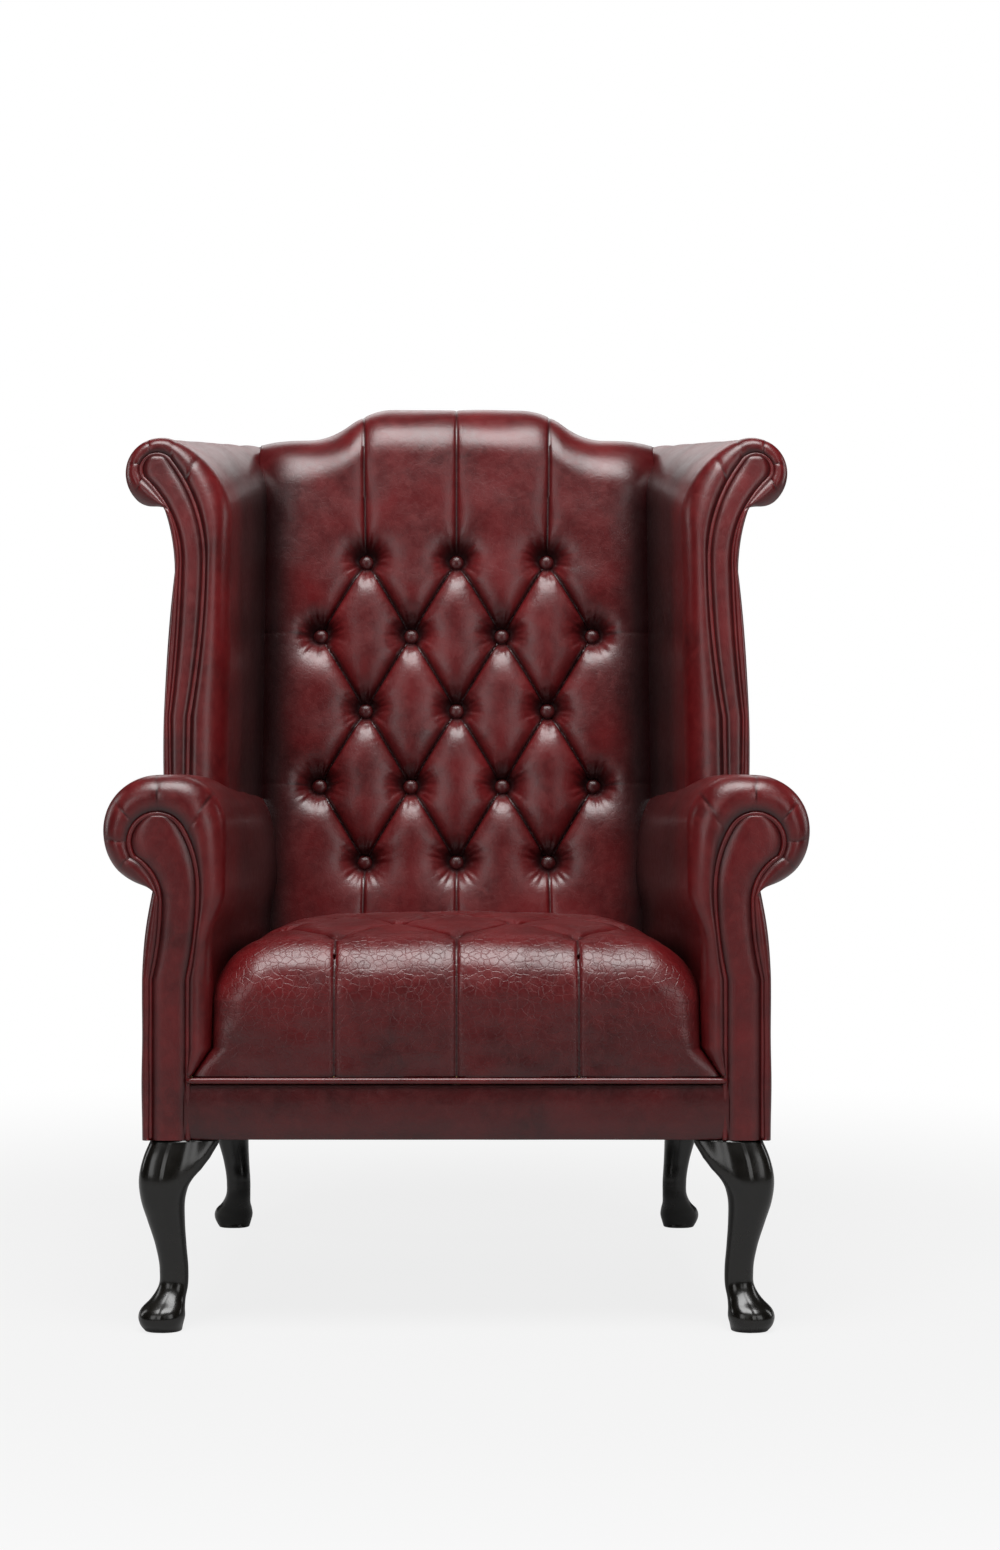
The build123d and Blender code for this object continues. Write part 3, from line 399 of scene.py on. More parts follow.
# Outlines of the arms and wings
def shoulder_run(centre, radius, inner, crown, count):
    """From the scroll's top over a tight round and a wide one, down to the inner face."""
    top = centre[1] + radius
    width = centre[0] - inner
    tight = SHOULDER_ROUND_SHARE * width
    broad = (width ** 2 + crown ** 2 - 2 * crown * tight) / (2 * (width - tight))
    out = ((width - broad) / (broad - tight), (crown - tight) / (broad - tight))
    turn = (centre[0] + tight * out[0], top - tight + tight * out[1])
    first = leaving_arc((centre[0], top), turn, (-1, 0), 40)
    second = leaving_arc((inner, top - crown), turn, (0, 1), 40)[::-1]
    return even(joined(first, second), count)


def full_shoulder(centre, radius, inner, crown, count):
    """The same run where the padding is fullest: level, then round, then straight down."""
    top, bend = centre[1] + radius, ARM_FULL_BEND
    return even(joined(line((centre[0], top), (inner + bend, top), 20),
                       arc((inner + bend, top - bend), bend, 90, 180, 40),
                       line((inner, top - bend), (inner, top - crown), 20)), count)


def neck_under(centre, radius, neck_x):
    """Where a scroll's underside meets its neck, and the angle there in degrees."""
    neck = (neck_x, centre[1] - math.sqrt(radius ** 2 - (neck_x - centre[0]) ** 2))
    return neck, math.degrees(bearing(centre, neck))


ARM_CENTRE = (SCROLL_X, ARM_HEIGHT - SCROLL_RADIUS)
ARM_HEAD = (SCROLL_X, ARM_HEIGHT - SCROLL_RADIUS - HEAD_DROP)
ARM_COUNTS = (40, 34, 84, 56, 62, 15, 24)


def arm_outline(inner, outer, shoulder_shape=shoulder_run):
    """An arm from the front, in seven runs from the outside foot over to the inside foot."""
    centre = (outer + SCROLL_X - ARM_OUTER, ARM_CENTRE[1])
    neck, start = neck_under(centre, SCROLL_RADIUS, outer - NECK_DRAW)
    post_x = outer - (ARM_OUTER - POST_INNER)
    lobe = (inner, LOBE_HEIGHT)
    shoulder = shoulder_shape(centre, SCROLL_RADIUS, inner, ARM_CROWN, ARM_COUNTS[3])
    return [
        line((outer, ARM_FOOT), (outer, POST_SHOULDER), ARM_COUNTS[0]),
        leaving_arc((outer, POST_SHOULDER), neck, (0, 1), ARM_COUNTS[1]),
        arc(centre, SCROLL_RADIUS, start, 90, ARM_COUNTS[2]),
        shoulder,
        line(shoulder[-1], lobe, ARM_COUNTS[4]),
        line(lobe, (post_x, SEAT_BASE), ARM_COUNTS[5]),
        line((post_x, SEAT_BASE), (post_x, ARM_FOOT), ARM_COUNTS[6]),
    ]


def facing_runs(outer, to_hook, head, inner, counts):
    """A facing's outer side, the way round its head and its inner side, in runs that match its
    outline's. Round the head the points keep the outline's angles, so pleats run straight out."""
    over = joined(even(to_hook, counts[2] - len(head) + 1), head)
    return [*(even(run, count) for run, count in zip(outer, counts)), over,
            *(even(run, count) for run, count in zip(inner, counts[3:]))]


def arm_facing():
    """The arm's facing, from its outside foot round its head to its inside foot."""
    hook_angle, lip_angle = -32, 148
    lip = on_circle(ARM_HEAD, HEAD_RADIUS, lip_angle)
    hook = on_circle(ARM_HEAD, HEAD_RADIUS, hook_angle)
    waist = (HALF_SEAT + 0.0135, 0.500)
    neck = (ARM_OUTER - NECK_DRAW - FACING_EDGE, 0.485)
    outer_x = ARM_OUTER - FACING_EDGE
    shoulder, lobe = (POST_INNER, POST_SHOULDER), (POST_INNER, LOBE_HEIGHT)
    corner = (POST_INNER, SEAT_BASE)
    outer = [line((outer_x, ARM_FOOT), (outer_x, POST_SHOULDER), 10),
             leaving_arc(neck, (outer_x, POST_SHOULDER), (0, -1), 30)[::-1]]
    inner = [joined(arc(ARM_HEAD, HEAD_RADIUS, 90, lip_angle, 30),
                    leaving_arc(waist, lip, (0, 1), 40)[::-1]),
             joined(leaving_arc(waist, shoulder, (0, -1), 30), line(shoulder, lobe, 30)),
             line(lobe, corner, 10),
             line(corner, (POST_INNER, ARM_FOOT), 10)]
    return facing_runs(outer, leaving_arc(neck, hook, (0, 1), 40),
                       arc(ARM_HEAD, HEAD_RADIUS, hook_angle, 90, 65), inner, ARM_COUNTS)


def up_wing(z, stretch=WING_STRETCH):
    """How far up a wing's leaning plane a height lies."""
    return (z - ARM_HEIGHT) * stretch


WING_CENTRE = (WING_WAIST + WING_OVERHANG - WING_SCROLL, up_wing(WING_TOP) - WING_SCROLL)
WING_HEAD = (WING_CENTRE[0] + 0.006, WING_CENTRE[1])
WING_COUNTS = (84, 30, 70, 60, 90)


def wing_outline(stretch, inner, foot, belly, waist, waist_height, overhang, radius, top,
                 crown, neck_step):
    """A wing on a leaning plane, in five runs from the outside foot to the inside foot."""
    centre = (waist + overhang - radius, up_wing(top, stretch) - radius)
    neck, start = neck_under(centre, radius, waist + neck_step)
    slim = (waist, up_wing(waist_height, stretch))
    middle = (belly, (slim[1] - WING_SINK) / 2)
    shoulder = shoulder_run(centre, radius, inner, crown, WING_COUNTS[3])
    return [
        through_arc((foot, -WING_SINK), middle, slim, WING_COUNTS[0]),
        leaving_arc(slim, neck, (0, 1), WING_COUNTS[1]),
        arc(centre, radius, start, 90, WING_COUNTS[2]),
        shoulder,
        line(shoulder[-1], (inner, -WING_SINK), WING_COUNTS[4]),
    ]


def wing_facing():
    """The wing's facing, from its outside foot round its head to its inside foot."""
    hook_angle, lip_angle = -34, 135
    lip = on_circle(WING_HEAD, WING_HEAD_RADIUS, lip_angle)
    hook = on_circle(WING_HEAD, WING_HEAD_RADIUS, hook_angle)
    slim, wide = up_wing(0.890), up_wing(0.700)
    waist, neck = (0.311, slim), (0.341, slim)
    inner_low, outer_low = (0.326, wide), (0.3505, wide)
    to_hook = leaving_arc(neck, hook, (0, 1), 60)
    outer = [joined(line((0.346, -WING_SINK), outer_low, 20),
                    leaving_arc(neck, outer_low, (0, -1), 40)[::-1]), to_hook[:33]]
    inner = [joined(arc(WING_HEAD, WING_HEAD_RADIUS, 90, lip_angle, 20),
                    leaving_arc(waist, lip, (0, 1), 50)[::-1]),
             joined(leaving_arc(waist, inner_low, (0, -1), 40),
                    line(inner_low, (inner_low[0], -WING_SINK), 30))]
    return facing_runs(outer, to_hook[32:],
                       arc(WING_HEAD, WING_HEAD_RADIUS, hook_angle, 90, 53), inner, WING_COUNTS)


WING_SIDE = {"stretch": WING_STRETCH, "foot": 0.351, "belly": 0.3555, "waist": WING_WAIST,
             "waist_height": 0.880, "overhang": WING_OVERHANG, "radius": WING_SCROLL,
             "top": WING_TOP, "neck_step": 0.016}
WING_FRONT = wing_outline(inner=0.286, crown=0.150, **WING_SIDE)
WING_FULL = wing_outline(inner=0.280, crown=0.105, **WING_SIDE)
WING_REAR = wing_outline(stretch=REAR_STRETCH, inner=0.252, foot=0.318, belly=0.319, waist=0.314,
                         waist_height=0.980, overhang=0.003, radius=0.027, top=1.096,
                         crown=0.070, neck_step=0.001)

# Short pleats round each scroll: their angles in degrees, and how far back each runs
ARM_PLEATS = ((145, 0.044), (91, 0.046), (36, 0.036), (-7, 0.036), (-43, 0.036))
WING_PLEATS = ((166, 0.040), (118, 0.042), (62, 0.036), (8, 0.034), (-45, 0.034))


# Scrolled pads: a padded roll round the facing, and the body behind it
def roll_shares():
    """Where a roll's rows lie between its welt and its outline, closest where it turns."""
    rise = ROLL_CREST * (1 - np.cos(np.linspace(0, math.pi / 2, 9)[1:-1]))
    fall = ROLL_CREST + (1 - ROLL_CREST) * np.sin(np.linspace(0, math.pi / 2, 18))
    return np.concatenate([[0.0], rise, fall])


def roll_depths(share, width, narrow, toward_inside):
    """How far behind the front a roll's points lie. It rises from its welt to a crest, which is
    nearer the welt on the inner side, and turns away behind it."""
    look = bpy.context.scene.wingback_padding
    share, peak = share[:, None], (ROLL_CREST - INNER_CREST_DRAW * toward_inside)[None]
    rising = 1 - np.clip(share / peak, 0, 1)
    falling = np.clip((share - peak) / (1 - peak), 0, 1)
    sunk = look.roll_lift * (1 - np.sqrt(np.clip(1 - rising ** 2, 0, 1)))
    turned = look.roll_depth * (1 - np.sqrt(1 - falling ** 2))
    fullness = np.clip(width / 0.030, 0, 1) * (1 + look.inner_turn * toward_inside
                                               * smooth_step(width / 0.008))
    return np.maximum(sunk, look.roll_lift * narrow[None]) + turned * fullness[None]


def roll_pleats(pleats, angles, width, row_run, along, seed):
    """How far the hide swells out, and its dark coat and painted shade in the creases, for short
    pleats across a roll.
    """
    push = 0.0012 + 0.0012 * waves(row_run[:, None], along[None], seed)
    coat_and_shade = np.zeros(push.shape)
    chance = np.random.default_rng(seed)
    for pleat, reach in pleats:
        column = np.argmin(np.abs(angles - pleat) + 1000 * (width < 0.012))
        bend = 0.0016 * np.sin(row_run / 0.011 + chance.uniform(0, 6))
        away = np.abs(along[None] - along[column] - bend[:, None])
        fade = smooth_step((reach - row_run) / 0.014) * smooth_step(row_run / 0.004)
        crease = bell(away, 0.0016) * 0.0008 + bell(away, 0.006) * 0.0005
        push = push - crease * fade[:, None]
        coat_and_shade = np.maximum(coat_and_shade, 0.8 * bell(away, 0.0012) * fade[:, None])
    return push, coat_and_shade


def scrolled_pad(name, plane, facing, front_runs, full_runs, rear_plane, rear_runs, centre,
                 pleats, seed, seat_holds=False):
    """An arm or a wing in one skin, from the facing's welt out over its roll and back."""
    look = bpy.context.scene.wingback_padding
    welt, front, rear = (joined(*runs) for runs in (facing, front_runs, rear_runs))
    share = roll_shares()
    width = np.linalg.norm(front - welt, axis=1)
    narrow = 1 - smooth_step(width / 0.004)
    ends = np.cumsum([len(run) - 1 for run in front_runs])
    toward_inside = smooth_step((np.arange(len(front)) - ends[2]) / (ends[3] - ends[2]))
    band = plane.at(welt[None] + (front - welt)[None] * share[:, None, None],
                    roll_depths(share, width, narrow, toward_inside))
    start, back_line = band[-1], rear_plane.at(rear)
    # Both ends of the piece stop at the outside back, which leans
    run = back_line - start
    late = (back_line[:, 1] + 0.002 - outside_y(back_line[:, 2])) / run[:, 1]
    back_line = back_line - run * np.clip(late, 0, 1)[:, None]
    share_back = np.concatenate([np.linspace(0, 0.1, 18)[1:], np.linspace(0.1, 1, 70)[1:]])
    body = start[None] + (back_line - start)[None] * share_back[:, None, None]
    # Behind its front roll the pad is fuller on its inner side, down to where the seat holds it
    fuller = joined(*full_runs) - front
    if seat_holds:
        fuller = fuller * smooth_step((front[:, 1] - look.held_height) / 0.060)[:, None]
    swollen = (fuller[:, :1] * plane.across + fuller[:, 1:] * plane.up)[None]
    body = body + swollen * (1 - 0.75 * share_back)[:, None, None]
    points = np.concatenate([band + swollen * share[:, None, None], body])
    row_run = np.concatenate([share * ROLL_RUN, ROLL_RUN + share_back * BODY_RUN])
    angles = np.degrees(np.arctan2(front[:, 1] - centre[1], front[:, 0] - centre[0]))
    push, coat_and_shade = roll_pleats(pleats, angles, width, row_run, travelled(front), seed)
    edge = smooth_step(row_run / 0.006)[:, None]
    points = points - grid_normals(points) * (push * edge)[..., None]
    # Painted shade in the groove along the welt
    groove_shade = (1 - smooth_step(row_run / 0.012))[:, None] * (1 - narrow)[None]
    # Painted shade on the inner side, growing darker towards the back
    inner_shade = smooth_step((row_run - 0.05) / 0.13)[:, None] * toward_inside[None]
    coat_and_shade = np.maximum(np.maximum(coat_and_shade, 0.98 * groove_shade), 0.93 * inner_shade)
    return make_mesh(name, points, ring_faces(*points.shape[:2]), leather(), coat_and_shade)


def facing_panel(name, plane, runs, puff):
    """The facing inside a welt, a little full in its middle. Its two long sides meet at the top
    of its head."""
    rows, columns = 130, 15
    outer, inner = even(joined(*runs[:3]), rows), even(joined(*runs[3:])[::-1], rows)
    share = np.linspace(0, 1, columns)[None, :, None]
    flat = outer[:, None] * (1 - share) + inner[:, None] * share
    width = np.linalg.norm(outer - inner, axis=1)[:, None]
    share = share[..., 0]
    bulge = puff * (1 - (2 * share - 1) ** 4) * smooth_step(width / 0.03)
    edge = width * np.minimum(share, 1 - share)
    # Painted shade darkens the panel along its edges, in the grooves beside the welt
    return make_mesh(name, plane.at(flat, FACING_SINK - bulge), grid_faces(rows, columns),
                     leather(), 0.98 * bell(edge, 0.0068))


# Leather and other finishes
def node(tree, kind, settings=None):
    """Adds a node. Each setting is a link into an input, an input's value or an option."""
    made = tree.nodes.new(kind)
    for key, value in (settings or {}).items():
        if isinstance(value, bpy.types.NodeSocket):
            tree.links.new(value, made.inputs[key])
        elif isinstance(key, int) or key in made.inputs:
            made.inputs[key].default_value = value
        else:
            setattr(made, key, value)
    return made


def start_material(name):
    """A material with an empty node tree, and where each of its points lies."""
    material = bpy.data.materials.new(name)
    material.use_nodes = True
    tree = material.node_tree
    tree.nodes.clear()
    return material, tree, node(tree, "ShaderNodeTexCoord").outputs["Object"]


def surface(tree, settings):
    """Ends a material in a principled surface."""
    shader = node(tree, "ShaderNodeBsdfPrincipled", settings)
    node(tree, "ShaderNodeOutputMaterial", {"Surface": shader.outputs[0]})


def blend_colours(tree, share, first, second):
    """A mix of two colours."""
    return node(tree, "ShaderNodeMix", {"data_type": "RGBA", 0: share, 6: first,
                                        7: second}).outputs[2]


def remap(tree, value, low, high, to_low=0.0, to_high=1.0, **options):
    """A value moved from one range to another."""
    return node(tree, "ShaderNodeMapRange", {
        **options, "Value": value, "From Min": low, "From Max": high, "To Min": to_low,
        "To Max": to_high}).outputs["Result"]


def maths(tree, operation, *values, **options):
    """A sum of the given values and links."""
    return node(tree, "ShaderNodeMath", {"operation": operation, **options,
                                         **dict(enumerate(values))}).outputs[0]


def noise(tree, place, width, detail, output="Fac", **settings):
    """Soft clouds about a width across, in millimetres."""
    return node(tree, "ShaderNodeTexNoise", {"Vector": place, "Scale": 1 / (width * MM),
                                             "Detail": detail, **settings}).outputs[output]


def bump(tree, height, strength, depth, **under):
    """A normal from a map of heights, whose depth is in millimetres, over another if given."""
    return node(tree, "ShaderNodeBump", {"Height": height, "Strength": strength,
                                         "Distance": depth * MM, **under}).outputs[0]


def point_value(tree, name):
    """A value that each point of a mesh holds."""
    return node(tree, "ShaderNodeAttribute", {"attribute_name": name}).outputs["Fac"]


@functools.cache
def leather():
    """Bull hide, dyed oxblood, then rubbed so that the dark top coat stays in the folds, with
    painted shade in creases and recesses in the same dark colour.
    """
    look = bpy.context.scene.wingback_leather
    material, tree, place = start_material("antiqued_oxblood_leather")
    coat_and_shade, wear = point_value(tree, "coat_and_shade"), point_value(tree, "wear")
    # The rubbing leaves clouds of lighter red, about a hand wide, with smaller mottles in them
    clouds = noise(tree, place, 70, 3.0, Roughness=0.55, Distortion=0.4)
    mottle = noise(tree, place, 13, 4.0, Roughness=0.6, Distortion=0.6)
    ground = blend_colours(tree, remap(tree, clouds, 0.28, 0.72), look.deep_colour,
                           look.rubbed_colour)
    worn = blend_colours(tree, remap(tree, mottle, 0.42, 0.75, 0.0, 0.4), ground,
                         look.worn_colour)
    # Towards the dark colour: the top coat left in the folds, and painted shade in creases,
    # grooves and recesses
    colour = blend_colours(tree, remap(tree, coat_and_shade, 0.0, 1.0, 0.0, 0.97), worn, look.coat_and_shade_colour)
    # Pebbled grain, with cells a little over a millimetre wide
    grain = node(tree, "ShaderNodeTexVoronoi", {
        "feature": "SMOOTH_F1", "Vector": place, "Scale": 1 / (1.5 * MM),
        "Smoothness": 0.6}).outputs["Distance"]
    # Fine cracks of the dried top coat, about a finger's width apart
    bent = noise(tree, place, 18, 3.0, output="Color")
    shifted = node(tree, "ShaderNodeVectorMath", {"operation": "MULTIPLY_ADD", 0: bent,
                                                  1: (9 * MM,) * 3, 2: place}).outputs[0]
    crackle = node(tree, "ShaderNodeTexVoronoi", {
        "feature": "DISTANCE_TO_EDGE", "Vector": shifted,
        "Scale": 1 / (9 * MM)}).outputs["Distance"]
    creased = noise(tree, place, 26, 6.0, Roughness=0.62, Distortion=0.8)
    # Where the sitter has bent the hide, its creases and cracks stand out more
    normal = bump(tree, creased, remap(tree, wear, 0.0, 1.0, 0.34, 0.85), 1.2)
    normal = bump(tree, remap(tree, crackle, 0.0, 0.09), remap(tree, wear, 0.0, 1.0, 0.15, 0.8),
                  0.4, Normal=normal)
    normal = bump(tree, grain, 0.1, 0.2, Normal=normal)
    worn_rough = remap(tree, mottle, 0.3, 0.75, look.roughness - 0.05, look.roughness + 0.07)
    rough = maths(tree, "MULTIPLY_ADD", coat_and_shade, -0.02, worn_rough, use_clamp=True)
    surface(tree, {"Base Color": colour, "Roughness": rough, "Normal": normal, "IOR": 1.5,
                   "Specular IOR Level": 0.5, "Coat Weight": 0.35, "Coat Roughness": 0.30,
                   "Coat IOR": 1.45})
    return material


@functools.cache
def black_lacquer():
    """Cellulose lacquer over carved beech, flatted and polished, so that it mirrors softly."""
    look = bpy.context.scene.wingback_leather
    material, tree, place = start_material("black_polished_lacquer_on_beech")
    dust = noise(tree, place, 25, 3.0)
    pull = noise(tree, place, 30, 1.0)
    surface(tree, {"Base Color": blend_colours(tree, dust, look.lacquer_colour,
                                               linear("#17140f")),
                   "Roughness": remap(tree, dust, 0.3, 0.7, 0.2, 0.3),
                   "Normal": bump(tree, pull, 0.1, 0.2), "IOR": 1.5, "Coat Weight": 0.25,
                   "Coat Roughness": 0.12})
    return material


def sawn_beech():
    """Frame beech as it leaves the saw: pale, with short flecks along the grain."""
    material, tree, place = start_material("sawn_frame_beech")
    drawn = node(tree, "ShaderNodeMapping", {"Vector": place, "Scale": (1.0, 0.12, 1.0)})
    grain = noise(tree, drawn.outputs[0], 7, 5.0)
    colour = blend_colours(tree, remap(tree, grain, 0.35, 0.7), linear("#c79f6e"),
                           linear("#9a7146"))
    surface(tree, {"Base Color": colour, "Roughness": 0.7,
                   "Normal": bump(tree, grain, 0.3, 0.3)})
    return material


def drawn_steel():
    """Spring steel wire, drawn through a die, with faint lines along it."""
    material, tree, place = start_material("drawn_spring_steel")
    lines = noise(tree, place, 2, 2.0)
    surface(tree, {"Base Color": blend_colours(tree, lines, linear("#8f8f90"),
                                               linear("#6f6f72")),
                   "Roughness": remap(tree, lines, 0.3, 0.7, 0.3, 0.45), "Metallic": 1.0})
    return material


def woven(name, warp, weft, thread):
    """A plain weave of threads over and under each other, a thread's width in millimetres."""
    material, tree, place = start_material(name)
    threads = [node(tree, "ShaderNodeTexWave", {
        "bands_direction": way, "Vector": place, "Scale": 1 / (20 * thread * MM),
        "Distortion": 0.6}).outputs["Fac"] for way in ("X", "Y")]
    both = maths(tree, "MULTIPLY", *threads)
    surface(tree, {"Base Color": blend_colours(tree, both, linear(warp), linear(weft)),
                   "Roughness": 0.9, "Sheen Weight": 0.2,
                   "Normal": bump(tree, both, 0.5, thread / 3)})
    return material


# Buttons and the pleats between them
def tuft_rows(pitch, heights):
    """Where the buttons of each row lie. Rows of three and of four take turns."""
    shares = ((-1, 0, 1), (-1.5, -0.5, 0.5, 1.5))
    return [[(share * pitch, height) for share in shares[row % 2]]
            for row, height in enumerate(heights)]


def pleats_between(rows, pitch):
    """The pleats from each button to its neighbours in the next row."""
    return [(here, there) for row, after in zip(rows, rows[1:])
            for here in row for there in after if abs(there[0] - here[0]) < pitch]


def along_and_away(x, up, start, end):
    """For each point, its share along a line, its distance from it and which side it is on."""
    run = np.array(end) - np.array(start)
    length = np.linalg.norm(run)
    share = ((x - start[0]) * run[0] + (up - start[1]) * run[1]) / length ** 2
    held = np.clip(share, 0, 1)
    away = np.hypot(x - start[0] - held * run[0], up - start[1] - held * run[1])
    side = ((x - start[0]) * run[1] - (up - start[1]) * run[0]) / length
    return held, away, side


def drawn_onto(x, up, runs, pitch):
    """Moves the points nearest to each run sideways onto it, so that its crease is crisp."""
    for (start_x, start_up), (end_x, end_up) in runs:
        if abs(end_x - start_x) > abs(end_up - start_up):
            continue
        share = (up - start_up) / (end_up - start_up)
        crossing = start_x + share * (end_x - start_x)
        on_run = (share > 0) & (share < 1) & (np.abs(x - crossing) < pitch / 2)
        x = np.where(on_run, crossing, x)
    return x


def rounded(away, reach):
    """The side of a full cushion: 1 in the crease, falling steeply, then level at its reach."""
    near = np.clip(1 - away / reach, 0, 1)
    return 0.6 * (1 - np.sqrt(1 - near ** 2)) + 0.4 * near ** 4


def pressed_by_pleats(x, up, pleats, look, chance):
    """What the pleats between buttons do to the hide: hollows, dark coat and painted shade,
    ripples and tucks.
    """
    total, coat_and_shade, ripples, tuck = (np.zeros(x.shape) for _ in range(4))
    for start, end in pleats:
        share, away, side = along_and_away(x, up, start, end)
        near = np.abs(2 * share - 1)
        depth = look.pleat_depth * (0.78 + 0.22 * near ** 2)
        total += (depth * rounded(away, look.pleat_reach)) ** BLEND
        coat_and_shade = np.maximum(coat_and_shade, bell(away, PLEAT_LINE) * (0.85 + 0.15 * near))
        length = np.hypot(end[0] - start[0], end[1] - start[1])
        run = share * length
        from_button = np.minimum(run, length - run)
        tuck = np.maximum(tuck, look.tuck_depth * bell(away, PLEAT_TUCK)
                          * smooth_step((from_button - TUCK_START) / TUCK_RISE))
        # Short puckers across the pleat, strongest near its buttons
        ripple = sum(np.sin(run * 2 * math.pi / pitch + side / 0.02 + chance.uniform(0, 6))
                     for pitch in (0.0085, 0.013, 0.021)) / 3
        ripples += ripple * look.pucker * bell(away - 0.006, 0.010) * near ** 1.5
    return total, coat_and_shade, ripples, tuck


def tufting(x, up, buttons, pleats, folds, seed):
    """How deep the hide is drawn in at each point, and how dark its folds are, with their dark
    coat and painted shade.
    """
    look = bpy.context.scene.wingback_padding
    chance = np.random.default_rng(seed)
    total, coat_and_shade, ripples, tuck = pressed_by_pleats(x, up, pleats, look, chance)
    for start, end in folds:
        share, away, _ = along_and_away(x, up, start, end)
        begin = bell(share * 4, 1.0)
        level = abs(end[0] - start[0]) > abs(end[1] - start[1])
        depth = look.fold_depth * (0.7 + 0.8 * begin) * (0.5 if level else 1.0)
        total += (depth * rounded(away, look.fold_reach)) ** BLEND
        line_width = LEVEL_FOLD_LINE if level else FOLD_LINE
        coat_and_shade = np.maximum(coat_and_shade, bell(away, line_width) * (0.7 + 0.3 * begin))
        if not level:
            length = np.hypot(end[0] - start[0], end[1] - start[1])
            tuck = np.maximum(tuck, 0.6 * look.tuck_depth * bell(away, FOLD_TUCK)
                              * smooth_step((share * length - TUCK_START) / TUCK_RISE))
    for button_x, button_up in buttons:
        away = np.hypot(x - button_x, up - button_up)
        turn = np.arctan2(up - button_up, x - button_x)
        # The hollow round a button starts at its rim and runs out softly
        total += (look.dimple_depth * np.exp(-np.clip(away - BUTTON_RIM, 0, None)
                                             / look.dimple_reach)) ** BLEND
        spokes = sum(np.cos(count * turn + chance.uniform(0, 6)) * chance.uniform(0.5, 1)
                     for count in (9, 14, 19, 24)) / 2
        ring = bell(away - PUCKER_RING, RING_WIDTH)
        ripples += spokes * look.pucker * 0.9 * ring
        # The shade in a hollow is wider above its button
        shade = 0.007 + 0.011 * (0.5 + 0.5 * np.sin(turn))
        coat_and_shade = np.maximum(coat_and_shade, 0.97 * bell(np.clip(away - SHADE_RIM, 0, None), shade))
        # Painted shade in the troughs of the puckers round a button
        coat_and_shade = np.maximum(coat_and_shade, 0.35 * np.clip(-spokes, 0, 1) * ring)
    return total ** (1 / BLEND) + tuck - ripples, coat_and_shade


# The buttoned back
def in_plane(z):
    """How far up the inside back's slope a height lies."""
    return (z - SEAT_EDGE) * math.hypot(1, BACK_RAKE)


def crest_height(x):
    """The height of the back's crest at a distance from the middle: a flat, then an ogee."""
    away = np.abs(x) - CREST_FLAT
    half, drop = CREST_RUN / 2, CREST_DROP / 2
    radius = (half ** 2 + drop ** 2) / (2 * drop)

    def fallen(run):
        return radius - np.sqrt(np.clip(radius ** 2 - run ** 2, 0, None))

    first = fallen(np.clip(away, 0, half))
    second = CREST_DROP - fallen(np.clip(CREST_RUN - away, 0, half))
    return CHAIR_HEIGHT - np.where(away < half, first, second)


BACK_ROWS = tuft_rows(BUTTON_PITCH, [in_plane(BUTTON_TOP - row * BUTTON_ROW)
                                     for row in range(BUTTON_ROWS)])
BACK_BUTTONS = [place for row in BACK_ROWS for place in row]


def back_folds():
    """The single folds that run off the top and bottom rows and out from the outer buttons."""
    folds = []
    for (x, top), (_, low) in zip(BACK_ROWS[0], BACK_ROWS[-1]):
        folds.append(((x, top), (x * 1.09, in_plane(CHAIR_HEIGHT + 0.2))))
        folds.append(((x, low), (x * 1.02, in_plane(SEAT_EDGE - 0.05))))
    for row in BACK_ROWS[1::2]:
        for x, up in (row[0], row[-1]):
            folds.append(((x, up), (math.copysign(0.3, x), up + 0.002)))
    return folds


def back_skin(across):
    """The back before it is buttoned: a flat slope, a roll over the crest and a lid behind it.
    Gives its points, and how far up the hide each lies."""
    low = SEAT_EDGE - 0.030
    top = crest_height(across)
    lean = math.atan(BACK_RAKE)
    centre_z = top - CREST_ROLL
    centre_y = inside_y(centre_z) + CREST_ROLL * math.hypot(1, BACK_RAKE)
    end_z = centre_z + CREST_ROLL * math.sin(lean)
    z = low + (end_z[None] - low) * np.linspace(0, 1, BACK_FLAT_ROWS)[:, None]
    turn = np.linspace(0, math.pi / 2 - lean, 38)[1:, None]
    angle = math.pi - lean - turn
    curve = grid_of(across, centre_y + CREST_ROLL * np.cos(angle),
                    centre_z + CREST_ROLL * np.sin(angle))
    up_curve = in_plane(end_z) + CREST_ROLL * turn
    span = outside_y(top) - 0.008 - centre_y
    level = np.linspace(0, 1, 24)[1:, None]
    lid = grid_of(across, centre_y + span * level, top - 0.012 * level ** 3)
    points = np.concatenate([grid_of(across, inside_y(z), z), curve, lid])
    return points, np.concatenate([in_plane(z), up_curve, up_curve[-1:] + span * level])


